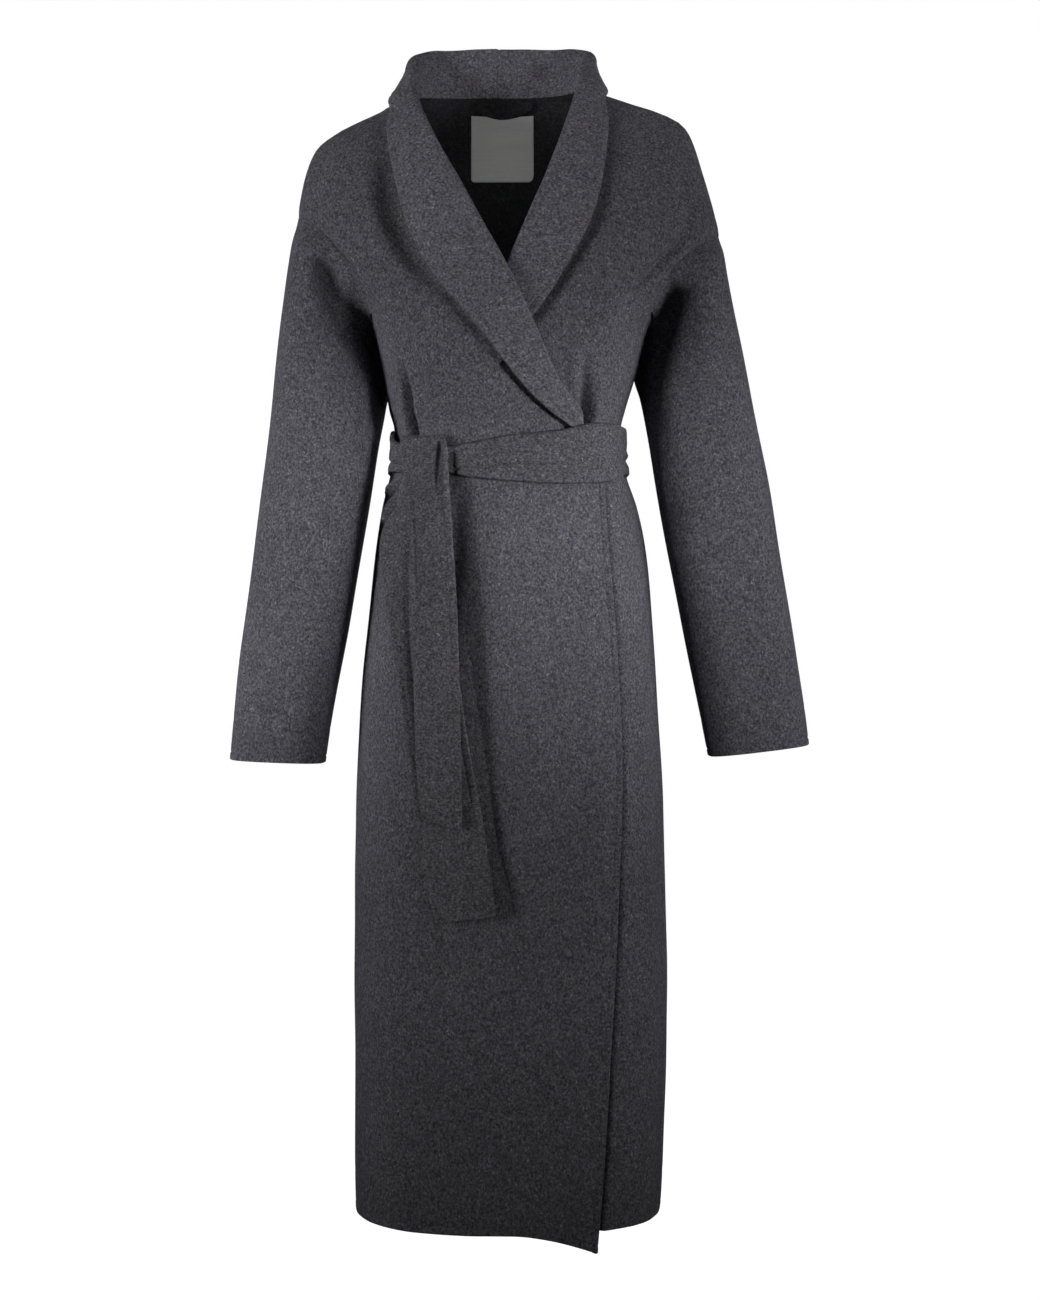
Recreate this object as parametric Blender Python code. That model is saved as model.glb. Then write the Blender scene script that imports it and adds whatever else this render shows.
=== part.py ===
"""Long wrap coat with a shawl collar, dropped shoulders and a tied belt.

The coat stands hollow, as it is worn. Metres, +Z up, the front faces -Y. The origin is at shoulder
height, in the middle of the neck. The wearer's right front is on -X and laps over the left one.

Points on the coat's outer face are found by their turn and level. Turn is in degrees round the body:
0 at the side on +X, 90 at the centre back, 180 at the side on -X and 270 at the centre front.
"""

import math
from collections import namedtuple

import bmesh
import bpy
import numpy as np

MM = 0.001
SHARP_ANGLE = math.radians(50)

# Thickness of the cloth, of the belt (folded cloth) and of the label, and the gap at a seam.
CLOTH = 2.0 * MM
BELT_CLOTH = 2.5 * MM
LABEL_CLOTH = 1.0 * MM
LABEL_AIR = 1.4 * MM
SEAM = 0.3 * MM

# The neck sits a little towards -X, because the coat hangs slightly askew.
NECK_X = -0.0114
BACK_NECK_Z = 0.0255
HEM_Z = -1.193
HEM_SHAPED_TO = -0.95
HEM_POINT_DROP = 0.021
HEM_POINT_X = 0.089

Body = namedtuple("Body", "z left middle right front back front_power back_power")
BODY = (
    Body(-1.210, -.1640, .0, .1610, .136, .132, 2.5, 2.3),
    Body(-1.180, -.1655, .0, .1655, .136, .132, 2.5, 2.3),
    Body(-1.100, -.1665, .0, .1690, .134, .131, 2.4, 2.3),
    Body(-.950, -.1668, .0, .1720, .130, .130, 2.3, 2.2),
    Body(-.770, -.1655, .0, .1680, .124, .128, 2.2, 2.2),
    Body(-.620, -.1575, .0, .1600, .119, .126, 2.2, 2.2),
    Body(-.530, -.1485, .0, .1540, .116, .121, 2.2, 2.2),
    Body(-.480, -.1430, .0, .1480, .112, .112, 2.2, 2.2),
    Body(-.440, -.1365, .0, .1395, .106, .100, 2.2, 2.2),
    Body(-.400, -.1265, .0, .1265, .098, .088, 2.2, 2.2),
    Body(-.375, -.1225, .0, .1225, .096, .085, 2.2, 2.2),
    Body(-.353, -.1235, .0, .1225, .098, .086, 2.2, 2.2),
    Body(-.335, -.1285, .0, .1265, .103, .090, 2.2, 2.2),
    Body(-.297, -.1350, .0, .1375, .111, .098, 2.2, 2.2),
    Body(-.262, -.1430, .0, .1460, .116, .103, 2.2, 2.2),
    Body(-.235, -.1500, .0, .1560, .116, .105, 2.2, 2.2),
    Body(-.205, -.1710, -.001, .1820, .113, .106, 2.2, 2.2),
    Body(-.186, -.1880, -.002, .2000, .110, .106, 2.2, 2.2),
    Body(-.165, -.2060, -.003, .2180, .106, .106, 2.2, 2.2),
    Body(-.143, -.2190, -.004, .2280, .101, .106, 2.2, 2.2),
    Body(-.120, -.2280, -.0055, .2235, .095, .106, 2.2, 2.2),
    Body(-.095, -.2245, -.0075, .2170, .088, .105, 2.1, 2.1),
    Body(-.071, -.2185, -.0092, .2100, .078, .102, 2.0, 2.0),
    Body(-.049, -.2087, -.0104, .2035, .066, .098, 1.8, 1.8),
    Body(-.030, -.1850, -.0109, .1955, .050, .094, 1.7, 1.7),
    Body(-.020, -.1660, -.0111, .1870, .041, .091, 1.6, 1.6),
    Body(-.008, -.1410, -.0113, .1630, .032, .088, 1.6, 1.6),
    Body(-.001, -.1300, -.0114, .1405, .027, .085, 1.6, 1.6),
    Body(.0085, -.1070, -.0114, .1130, .021, .081, 1.6, 1.7),
    Body(.0200, -.0920, -.0114, .0842, .014, .075, 1.6, 1.9),
    Body(.0255, -.0840, -.0114, .0670, .012, .070, 1.6, 2.0),
)

# Largest folds of the shell: where each runs round the body and between which levels, how far it
# leans round the body on the way down, how fast it fades, its width (degrees) and its height.
Fold = namedtuple("Fold", "turn lean top bottom fade width rise")
FOLDS = (
    Fold(50, -5, -.41, -1.50, .30, 9.0, 4.5 * MM),
    Fold(69, -3, -.41, -1.50, .26, 7.0, -4.0 * MM),
    Fold(87, 2, -.41, -1.50, .34, 8.0, 4.0 * MM),
    Fold(108, 4, -.41, -1.50, .24, 7.5, -3.5 * MM),
    Fold(128, 6, -.41, -1.50, .30, 9.0, 5.0 * MM),
    Fold(206, 4, -.42, -1.50, .32, 9.0, 3.0 * MM),
    Fold(238, 8, -.55, -1.50, .40, 10.0, -2.5 * MM),
    Fold(334, -3, -.42, -1.50, .30, 8.0, 3.0 * MM),
    Fold(258, 6, -.40, -.72, .10, 16.0, 3.0 * MM),
    Fold(62, 10, -.17, -.36, .07, 9.0, 4.0 * MM),
    Fold(96, -3, -.20, -.36, .06, 8.0, 3.5 * MM),
    Fold(122, -9, -.17, -.36, .07, 9.0, 4.5 * MM),
    Fold(234.5, 6, -.02, -.25, .08, 6.5, -8.0 * MM),
    Fold(309, -3, -.03, -.21, .07, 8.0, -2.0 * MM),
    Fold(234, 6, -.18, -.36, .07, 13.0, 2.0 * MM),
)

# Each side's shoulder tip, armpit and neck point, and how far the armhole reaches round the body.
Side = namedtuple("Side", "name sign seam_turn tip_z armpit_z neck_z hole_front hole_back")
SIDES = {
    "right": Side("right", -1, 180.0, -.122, -.235, .0085, 29.0, 26.0),
    "left": Side("left", 1, 0.0, -.143, -.235, .0200, 28.0, 26.0),
}
HOLE_SQUARENESS = 0.4

# Levels of the rows below the armhole, and the shares of the rows between armhole tip and neck.
SKIRT_ROWS = (HEM_Z, -1.08, -.94, -.79, -.65, -.55, -.48, -.435, -.405, -.375, -.350, -.320, -.290, -.262)
HOLE_ROWS = 11
HOLE_ROWS_EASE = 0.6
SHOULDER_ROWS = (0.12, 0.25, 0.38, 0.51, 0.64, 0.76, 0.88, 0.97, 1.0)
FRONT_TOP_ROW = len(SKIRT_ROWS) + HOLE_ROWS + len(SHOULDER_ROWS) - 1
BACK_COLUMNS = 20
FRONT_COLUMNS = 14

# The free edges of the fronts below the collar (the over front's x, and the under front's).
Edge = namedtuple("Edge", "z over under")
EDGES = (
    Edge(-1.210, .0910, -.1000),
    Edge(-1.115, .0985, -.1020),
    Edge(-1.037, .1030, -.1050),
    Edge(-.880, .1120, -.1090),
    Edge(-.707, .1168, -.1090),
    Edge(-.597, .1118, -.1060),
    Edge(-.523, .1060, -.1030),
    Edge(-.477, .1018, -.1000),
    Edge(-.417, .0985, -.0950),
    Edge(-.395, .0950, -.0880),
    Edge(-.375, .0880, -.0790),
)

# Lapels: at each level the roll line's reach from the neck's middle towards its own side, the outer
# edge's reach and level, the fold's radius and the outer edge's height over the front.
Lapel = namedtuple("Lapel", "z roll edge edge_z radius edge_lift")
OVER_LAPEL = (
    Lapel(-.376, -.1070, -.1010, -.3770, 2.9 * MM, 3.6 * MM),
    Lapel(-.356, -.0974, -.0780, -.3600, 3.2 * MM, 3.8 * MM),
    Lapel(-.309, -.0623, -.0360, -.3250, 3.4 * MM, 4.0 * MM),
    Lapel(-.283, -.0508, -.0180, -.3040, 3.6 * MM, 4.2 * MM),
    Lapel(-.238, -.0311, .0120, -.2655, 4.2 * MM, 4.5 * MM),
    Lapel(-.186, -.0063, .0520, -.2170, 4.5 * MM, 4.5 * MM),
    Lapel(-.142, .0166, .0790, -.1750, 4.5 * MM, 4.5 * MM),
    Lapel(-.105, .0361, .0960, -.1360, 4.5 * MM, 4.5 * MM),
    Lapel(-.080, .0500, .1040, -.1050, 4.8 * MM, 4.5 * MM),
    Lapel(-.038, .0706, .1155, -.0520, 5.5 * MM, 4.5 * MM),
    Lapel(-.015, .0800, .1185, -.0270, 6.5 * MM, 4.5 * MM),
    Lapel(.0085, .0890, .1185, -.0080, 7.5 * MM, 4.5 * MM),
)
UNDER_LAPEL = (
    Lapel(-.350, -.0650, -.0560, -.3520, 2.4 * MM, 2.8 * MM),
    Lapel(-.320, -.0480, -.0320, -.3300, 2.4 * MM, 2.8 * MM),
    Lapel(-.283, -.0300, .0000, -.3000, 2.4 * MM, 2.8 * MM),
    Lapel(-.238, -.0100, .0250, -.2600, 2.4 * MM, 2.8 * MM),
    Lapel(-.200, .0060, .0480, -.2300, 2.4 * MM, 2.8 * MM),
    Lapel(-.180, .0146, .0640, -.2050, 3.4 * MM, 3.6 * MM),
    Lapel(-.150, .0270, .0800, -.1760, 4.5 * MM, 4.5 * MM),
    Lapel(-.124, .0374, .0940, -.1500, 4.5 * MM, 4.5 * MM),
    Lapel(-.087, .0527, .1060, -.1130, 4.8 * MM, 4.5 * MM),
    Lapel(-.047, .0667, .1140, -.0650, 5.5 * MM, 4.5 * MM),
    Lapel(-.005, .0795, .1180, -.0200, 6.5 * MM, 4.5 * MM),
    Lapel(.0200, .0884, .1180, .0040, 7.5 * MM, 4.5 * MM),
)
# The front's edge lies this far from the roll line, along a level.
ROLL_TO_SEAM = 6.8 * MM
# Below the lapel the free edge moves from the roll line to the wrap's edge over this height.
EDGE_SWITCH = 0.030
LAPEL_BOTTOM_ROWS = {"right": 9, "left": 11}

# Collar round the back neck: how far the fold and the outer edge lie outwards of and above the
# neck seam, by turn from the centre back (90) to the neck point (180).
Stand = namedtuple("Stand", "turn fold_out fold_up edge_out edge_up radius")
STAND = (
    Stand(90, -.0050, .0535, .0190, -.0175, 4.5 * MM),
    Stand(110, .0030, .0550, .0200, -.0175, 4.5 * MM),
    Stand(130, .0265, .0575, .0285, -.0145, 5.0 * MM),
    Stand(145, .0280, .0515, .0320, -.0105, 7.0 * MM),
    Stand(160, .0125, .0360, .0310, -.0065, 9.0 * MM),
    Stand(172, -.0005, .0200, .0270, -.0050, 8.5 * MM),
    Stand(180, -.0045, .0120, .0240, -.0045, 7.5 * MM),
)
FALL_BULGE = 4.5 * MM
# The left half of the collar stands out a little more, by this share.
LEFT_WIDER = 0.17
# The stand fades into the lapel over this drop below the neck point.
STAND_FADE = 0.030

# Room that the over front leaves above the under front: at the chest for the lapel, below for cloth.
Room = namedtuple("Room", "z lift")
ROOM = (
    Room(-1.21, 3.2 * MM),
    Room(-.38, 3.2 * MM),
    Room(-.355, 3.6 * MM),
    Room(-.335, 6.2 * MM),
    Room(.03, 6.2 * MM),
)
ROOM_RAMP = 0.046
ROOM_MARGIN = 4 * MM

# Sleeves: outer and inner outline of each ring, its reach to front and back, and where round it
# (degrees from the outer line) the cloth folds back under the arm, 180 for nowhere.
Ring = namedtuple("Ring", "outer_x outer_z inner_x inner_z front back outer_y inner_y fold_from")
SLEEVE_RINGS = {
    "right": (
        Ring(-.2330, -.1480, -.1490, -.2500, .064, .062, .000, .012, 94),
        Ring(-.2384, -.1780, -.1400, -.2700, .066, .064, -.001, .028, 84),
        Ring(-.2438, -.2190, -.1315, -.2970, .067, .065, -.002, .034, 92),
        Ring(-.2502, -.2750, -.1345, -.3300, .066, .065, -.003, .020, 116),
        Ring(-.2574, -.3450, -.1412, -.3750, .064, .063, -.005, -.004, 145),
        Ring(-.2659, -.4185, -.1495, -.4300, .061, .061, -.008, -.016, 165),
        Ring(-.2742, -.4837, -.1605, -.5000, .058, .058, -.011, -.020, 180),
        Ring(-.2825, -.5489, -.1715, -.5640, .055, .055, -.014, -.020, 180),
        Ring(-.2907, -.6141, -.1838, -.6290, .052, .052, -.017, -.021, 180),
        Ring(-.2969, -.6793, -.1936, -.6880, .050, .049, -.020, -.022, 180),
        Ring(-.2989, -.7087, -.1976, -.7130, .049, .048, -.021, -.022, 180),
    ),
    "left": (
        Ring(.2325, -.1620, .1545, -.2500, .064, .062, .000, .012, 94),
        Ring(.2374, -.1900, .1437, -.2660, .066, .064, -.001, .028, 84),
        Ring(.2433, -.2230, .1380, -.2870, .067, .065, -.002, .034, 92),
        Ring(.2527, -.2700, .1440, -.3200, .066, .065, -.003, .014, 116),
        Ring(.2665, -.3400, .1515, -.3650, .064, .063, -.005, -.004, 145),
        Ring(.2796, -.4060, .1601, -.4185, .061, .061, -.008, -.016, 165),
        Ring(.2907, -.4760, .1722, -.4900, .058, .058, -.011, -.020, 180),
        Ring(.3013, -.5400, .1850, -.5540, .055, .055, -.014, -.020, 180),
        Ring(.3109, -.6050, .1979, -.6190, .052, .052, -.017, -.021, 180),
        Ring(.3204, -.6680, .2102, -.6810, .050, .049, -.020, -.022, 180),
        Ring(.3228, -.6930, .2156, -.7060, .049, .048, -.021, -.022, 180),
    ),
}

# The fold under the arm bends within this angle (radians) round the sleeve, by this share.
FOLD_TURN = 0.45
FOLD_SHARE = 0.85
TINY = 1e-6

# At the armhole seam the sleeve's cloth turns to lie like the panels' cloth, the more the closer the
# two already lie (cosines between the two cloths where it starts and where it is full).
SLEEVE_SEAM_LIKE, SLEEVE_SEAM_ALIKE = 0.2, 0.8

# Belt round the waist: its top, bottom and the height of its inner face over the coat.
Band = namedtuple("Band", "turn top bottom lift")
BAND = (
    Band(0, -.3520, -.4030, 0.8 * MM),
    Band(45, -.3470, -.4060, 0.8 * MM),
    Band(90, -.3450, -.4070, 0.8 * MM),
    Band(135, -.3470, -.4060, 0.8 * MM),
    Band(180, -.3554, -.4022, 0.8 * MM),
    Band(193, -.3575, -.4030, 2.5 * MM),
    Band(203, -.3690, -.4035, 8.0 * MM),
    Band(214, -.3750, -.4045, 8.4 * MM),
    Band(239, -.3810, -.4071, 8.2 * MM),
    Band(251, -.3775, -.4127, 6.6 * MM),
    Band(270, -.3690, -.4167, 5.6 * MM),
    Band(293, -.3634, -.4201, 8.4 * MM),
    Band(315, -.3534, -.4185, 9.4 * MM),
    Band(328, -.3530, -.4127, 7.2 * MM),
    Band(342, -.3531, -.4045, 2.5 * MM),
    Band(360, -.3520, -.4030, 0.8 * MM),
)
BAND_COLUMNS = 44
# The belt's cloth bulges outwards between its edges, with a trough below its middle; its inner face
# follows with a share of that.
BAND_ROLL = 2.2 * MM
BAND_ROLL_INSIDE = 0.8
BAND_SHAPE = (0.0, 0.8, 0.35, 0.9, 1.0, 0.8, 0.0)

# Belt ends: the height of the outer face over the coat, and the edges of the strip, down its run.
Strip = namedtuple("Strip", "z_left z_right left right lift")
FRONT_END = (
    Strip(-.3960, -.3960, -.1010, -.0690, 3.9 * MM),
    Strip(-.3800, -.3800, -.1020, -.0680, 3.9 * MM),
    Strip(-.3690, -.3690, -.1028, -.0670, 5.2 * MM),
    Strip(-.3655, -.3665, -.1035, -.0650, 9.0 * MM),
    Strip(-.3690, -.3700, -.1030, -.0620, 13.6 * MM),
    Strip(-.3780, -.3790, -.1012, -.0595, 16.0 * MM),
    Strip(-.3950, -.3960, -.0997, -.0582, 17.5 * MM),
    Strip(-.4120, -.4140, -.0974, -.0571, 19.0 * MM),
    Strip(-.4350, -.4370, -.0934, -.0553, 20.5 * MM),
    Strip(-.4780, -.4790, -.0901, -.0518, 22.0 * MM),
    Strip(-.5450, -.5460, -.0886, -.0477, 23.0 * MM),
    Strip(-.6300, -.6320, -.0873, -.0455, 23.0 * MM),
    Strip(-.7060, -.7100, -.0865, -.0450, 22.0 * MM),
    Strip(-.7654, -.7778, -.0818, -.0443, 20.5 * MM),
)
BACK_END = (
    Strip(-.4130, -.4130, -.0985, -.0655, 7.6 * MM),
    Strip(-.4280, -.4280, -.1030, -.0650, 8.4 * MM),
    Strip(-.4400, -.4400, -.1085, -.0650, 8.8 * MM),
    Strip(-.4560, -.4550, -.1190, -.0665, 9.4 * MM),
    Strip(-.4850, -.4850, -.1243, -.0665, 10.2 * MM),
    Strip(-.5290, -.5290, -.1202, -.0620, 11.0 * MM),
    Strip(-.5860, -.5860, -.1121, -.0535, 11.8 * MM),
    Strip(-.6980, -.6960, -.0973, -.0385, 12.5 * MM),
    Strip(-.7909, -.7833, -.0873, -.0235, 12.5 * MM),
    Strip(-.8739, -.8660, -.0700, -.0121, 12.5 * MM),
)
STRIP_ROWS_PER_STEP = 2
STRIP_COLUMNS = 5
STRIP_CROWN = 0.6 * MM

# Label and hanger loop inside the back neck.
LABEL_LEFT, LABEL_RIGHT = -.0429, .0283
LABEL_TOP, LABEL_BOTTOM = .0070, -.0624
LOOP_LEFT, LOOP_RIGHT = -.0400, .0280
LOOP_TOP, LOOP_DIP, LOOP_HEIGHT = .0225, .0060, .0080
LOOP_SAG_POWER = 0.7
LOOP_AIR, LOOP_STAND_OFF = 2.2 * MM, 2.5 * MM

Finish = namedtuple("Finish", "color roughness metallic")
FINISHES = {
    "wool": Finish((.070, .068, .076, 1), 0.92, 0.0),
    "wool_belt": Finish((.072, .070, .078, 1), 0.92, 0.0),
    "satin": Finish((.62, .62, .61, 1), 0.45, 0.0),
}


class Track:
    """Smooth curves through a table's rows, one for each column, that never overshoot a row.

    The key is the column to look up by; without one, it is the row's number.
    """

    def __init__(self, rows, key=None):
        if key is None:
            self.keys = np.arange(len(rows), dtype=float)
        else:
            rows = sorted(rows, key=lambda row: getattr(row, key))
            self.keys = np.array([getattr(row, key) for row in rows], float)
        self.values = {}
        self.slopes = {}
        for name in rows[0]._fields:
            values = np.array([getattr(row, name) for row in rows], float)
            rise = np.diff(values) / np.diff(self.keys)
            slope = np.concatenate(([rise[0]], np.zeros(len(values) - 2), [rise[-1]]))
            for k in range(1, len(values) - 1):
                if rise[k - 1] * rise[k] > 0:
                    slope[k] = 2.0 / (1.0 / rise[k - 1] + 1.0 / rise[k])
            self.values[name] = values
            self.slopes[name] = slope

    def __call__(self, name, where):
        where = np.clip(where, self.keys[0], self.keys[-1])
        k = np.clip(np.searchsorted(self.keys, where, side="right") - 1, 0, len(self.keys) - 2)
        step = self.keys[k + 1] - self.keys[k]
        t = (where - self.keys[k]) / step
        value, slope = self.values[name], self.slopes[name]
        return ((1 + 2 * t) * (1 - t) ** 2 * value[k] + t * (1 - t) ** 2 * step * slope[k]
                + t * t * (3 - 2 * t) * value[k + 1] + t * t * (t - 1) * step * slope[k + 1])


BODY_AT = Track(BODY, "z")
EDGE_AT = Track(EDGES, "z")
ROOM_AT = Track(ROOM, "z")
STAND_AT = Track(STAND, "turn")
BAND_AT = Track(BAND, "turn")
LAPEL_AT = {"right": Track(OVER_LAPEL, "z"), "left": Track(UNDER_LAPEL, "z")}


def smooth_step(t):
    t = np.clip(t, 0.0, 1.0)
    return t * t * (3 - 2 * t)


def unit(vectors):
    return vectors / np.linalg.norm(vectors, axis=-1, keepdims=True)


def blend(a, b, t):
    return a + (b - a) * t


def fold_rise(turn, z):
    """Height that the largest folds add to the shell."""
    rise = 0.0 * turn
    for fold in FOLDS:
        down = np.clip((fold.top - z) / (fold.top - fold.bottom), 0, 1)
        away = (turn - fold.turn - fold.lean * down + 180.0) % 360.0 - 180.0
        ends = smooth_step((fold.top - z) / fold.fade) * smooth_step((z - fold.bottom) / fold.fade)
        rise = rise + fold.rise * ends * np.exp(-(away / fold.width) ** 2)
    return rise


def shell(turn, z):
    """Points of the coat's outer face."""
    turn, z = np.broadcast_arrays(np.asarray(turn, float), np.asarray(z, float))
    cos, sin = np.cos(np.radians(turn)), np.sin(np.radians(turn))
    middle = BODY_AT("middle", z)
    reach = np.where(cos > 0, BODY_AT("right", z) - middle, middle - BODY_AT("left", z))
    depth = np.where(sin < 0, BODY_AT("front", z), BODY_AT("back", z))
    power = np.where(sin < 0, BODY_AT("front_power", z), BODY_AT("back_power", z))
    y = np.sign(sin) * depth * np.clip(1 - np.abs(cos) ** power, 0, 1) ** (1 / power)
    y = y + sin * fold_rise(turn, z)
    return np.stack([middle + reach * cos, y, z], axis=-1)


def shell_normal(turn, z, step=3.0, rise=3 * MM):
    """Outward directions of the coat's outer face."""
    turn, z = np.broadcast_arrays(np.asarray(turn, float), np.asarray(z, float))
    around = shell(turn + step, z) - shell(turn - step, z)
    up = shell(turn, z + rise) - shell(turn, z - rise)
    return unit(np.cross(around, up))


def lifted(turn, z, lift):
    """Points at a height over the coat's outer face; a negative lift lies inside it."""
    lift = np.asarray(lift, float)[..., None]
    return shell(turn, z) + lift * shell_normal(turn, z)


def front_turn(x, z):
    """Turn of the point of the front that has this x at this level."""
    middle = BODY_AT("middle", z)
    reach = np.where(x > middle, BODY_AT("right", z) - middle, middle - BODY_AT("left", z))
    return 360.0 - np.degrees(np.arccos(np.clip((x - middle) / reach, -1, 1)))


def free_edge(side, z):
    """The x of a front's free edge: beside the lapel's roll line, and below it the wrap's edge."""
    lapel_bottom = SKIRT_ROWS[LAPEL_BOTTOM_ROWS[side.name]]
    roll = NECK_X + side.sign * (LAPEL_AT[side.name]("roll", z) + ROLL_TO_SEAM)
    edge = EDGE_AT("over" if side.name == "right" else "under", z)
    return blend(edge, roll, smooth_step((z - lapel_bottom) / EDGE_SWITCH + 1))


def over_room(x, z):
    """Height of the over front above the shell, where the under front lies beneath it."""
    full_from = free_edge(SIDES["left"], z) - ROOM_MARGIN
    return ROOM_AT("lift", z) * smooth_step((x - full_from) / ROOM_RAMP + 1)


def hem_share(level):
    """How far a level shares in the shaping of the hem: 1 at the hem, 0 above the shaped part."""
    return np.clip((HEM_SHAPED_TO - level) / (HEM_SHAPED_TO - HEM_Z), 0, 1) ** 2


def row_levels(turn):
    """Levels of all rows at the given turns, shape (rows, columns)."""
    turn = np.asarray(turn, float)
    across = (1 + np.cos(np.radians(turn))) / 2
    tip, armpit, neck = (
        blend(getattr(SIDES["right"], name), getattr(SIDES["left"], name), across)
        for name in ("tip_z", "armpit_z", "neck_z"))
    neck = neck + np.clip(np.sin(np.radians(turn)), 0, 1) * (BACK_NECK_Z - neck)
    rows = [level + 0 * turn for level in SKIRT_ROWS]
    for k in range(HOLE_ROWS):
        share = k / HOLE_ROWS
        eased = (1 - math.cos(math.pi * share)) / 2
        rows.append(blend(armpit, tip, blend(share, eased, HOLE_ROWS_EASE)))
    rows.append(tip)
    for share in SHOULDER_ROWS:
        rows.append(blend(tip, neck, share))
    return np.array(rows)


def hole_turn(side, z, reach):
    """How far the armhole reaches round the body from the side, at the given levels."""
    share = np.clip((side.tip_z - z) / (side.tip_z - side.armpit_z), 0, 1)
    return reach * np.sin(np.pi * share) ** HOLE_SQUARENESS


def shrink(grid, edges, gap=SEAM / 2):
    """Draws the named edges of a grid of points back, to leave room for a seam."""
    grid = grid.copy()
    if "bottom" in edges:
        grid[0] += gap * unit(grid[1] - grid[0])
    if "top" in edges:
        grid[-1] += gap * unit(grid[-2] - grid[-1])
    if "first" in edges:
        grid[:, 0] += gap * unit(grid[:, 1] - grid[:, 0])
    if "last" in edges:
        grid[:, -1] += gap * unit(grid[:, -2] - grid[:, -1])
    return grid


def grid_normals(grid, closed=False):
    """Directions square to a grid of points, along rows cross columns."""
    if closed:
        padded = np.concatenate([grid[:, -1:], grid, grid[:, :1]], axis=1)
        along = padded[:, 2:] - padded[:, :-2]
    else:
        along = np.gradient(grid, axis=1)
    return unit(np.cross(along, np.gradient(grid, axis=0)))


def finish_material(name):
    material = bpy.data.materials.get(name)
    if material is None:
        material = bpy.data.materials.new(name)
        material.use_nodes = True
        shader = material.node_tree.nodes["Principled BSDF"]
        shader.inputs["Base Color"].default_value = FINISHES[name].color
        shader.inputs["Roughness"].default_value = FINISHES[name].roughness
        shader.inputs["Metallic"].default_value = FINISHES[name].metallic
    return material


def wall(name, finish, outer, inner, closed=False):
    """A closed wall of cloth between two grids of points; a closed grid is a tube."""
    rows, columns = outer.shape[:2]
    mesh = bpy.data.meshes.new(name)
    bm = bmesh.new()
    layers = []
    for grid in (outer, inner):
        layers.append([[bm.verts.new(grid[j, i]) for i in range(columns)] for j in range(rows)])
    outer_verts, inner_verts = layers
    steps = columns if closed else columns - 1
    for j in range(rows - 1):
        for i in range(steps):
            k = (i + 1) % columns
            bm.faces.new([outer_verts[j][i], outer_verts[j][k], outer_verts[j + 1][k], outer_verts[j + 1][i]])
            bm.faces.new([inner_verts[j][i], inner_verts[j + 1][i], inner_verts[j + 1][k], inner_verts[j][k]])
    for j, flip in ((0, True), (rows - 1, False)):
        for i in range(steps):
            k = (i + 1) % columns
            rim = [outer_verts[j][i], outer_verts[j][k], inner_verts[j][k], inner_verts[j][i]]
            bm.faces.new(rim[::-1] if flip else rim)
    if not closed:
        for i, flip in ((0, False), (columns - 1, True)):
            for j in range(rows - 1):
                rim = [outer_verts[j][i], outer_verts[j + 1][i], inner_verts[j + 1][i], inner_verts[j][i]]
                bm.faces.new(rim[::-1] if flip else rim)
    bmesh.ops.recalc_face_normals(bm, faces=bm.faces)
    bmesh.ops.triangulate(bm, faces=bm.faces)
    bm.to_mesh(mesh)
    bm.free()
    mesh.shade_smooth()
    mesh.set_sharp_from_angle(angle=SHARP_ANGLE)
    mesh.materials.append(finish_material(finish))
    piece = bpy.data.objects.new(name, mesh)
    bpy.context.scene.collection.objects.link(piece)
    return piece


def panel(name, turn, z, lift, seams, finish="wool", cloth=CLOTH):
    """A wall of cloth that lies on the coat's shell."""
    outer = shrink(lifted(turn, z, lift), seams)
    inner = shrink(lifted(turn, z, lift - cloth), seams)
    return wall(name, finish, outer, inner)


def side_edge(side, rows, face):
    """Turn of a panel's side edge on every row: the side seam, the armhole, then the shoulder seam."""
    reach = side.hole_front if face == "front" else side.hole_back
    toward = 1 if (face == "front") == (side.name == "right") else -1
    start = side.seam_turn + (360.0 if side.name == "left" and face == "front" else 0.0)
    return start + toward * hole_turn(side, rows, reach)


def seam_levels(side):
    return row_levels(np.array([side.seam_turn]))[:, 0]


def make_back():
    left = side_edge(SIDES["left"], seam_levels(SIDES["left"]), "back")
    right = side_edge(SIDES["right"], seam_levels(SIDES["right"]), "back")
    share = np.linspace(0, 1, BACK_COLUMNS + 1)
    turn = blend(left[:, None], right[:, None], share[None, :])
    spread = blend(0.0, 180.0, share)
    z = row_levels(spread)
    panel("back", turn, z, 0 * z, ("first", "last", "top"))


def front_grid(side, columns=FRONT_COLUMNS):
    """Turns and levels of a front's points, from its side seam to its free edge."""
    seam = seam_levels(side)[:FRONT_TOP_ROW + 1]
    z = np.repeat(seam[:, None], columns + 1, axis=1)
    share = np.linspace(0, 1, columns + 1)
    for _ in range(2):
        edge_turn = front_turn(free_edge(side, z[:, -1]), z[:, -1])
        turn = blend(side_edge(side, seam, "front")[:, None], edge_turn[:, None], share[None, :])
        if side.name == "right":
            x = shell(turn, z)[..., 0]
            drop = HEM_POINT_DROP * np.clip(x[0] / HEM_POINT_X, 0, 1) ** 2
            for j, level in enumerate(SKIRT_ROWS):
                z[j] = level - drop * hem_share(level)
    return turn, z


def make_fronts():
    for side, name in ((SIDES["right"], "front_right"), (SIDES["left"], "front_left")):
        turn, z = front_grid(side)
        lift = 0 * z
        if side.name == "right":
            lift = over_room(shell(turn, z)[..., 0], z)
        panel(name, turn, z, lift, ("first", "last", "top"))


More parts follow.
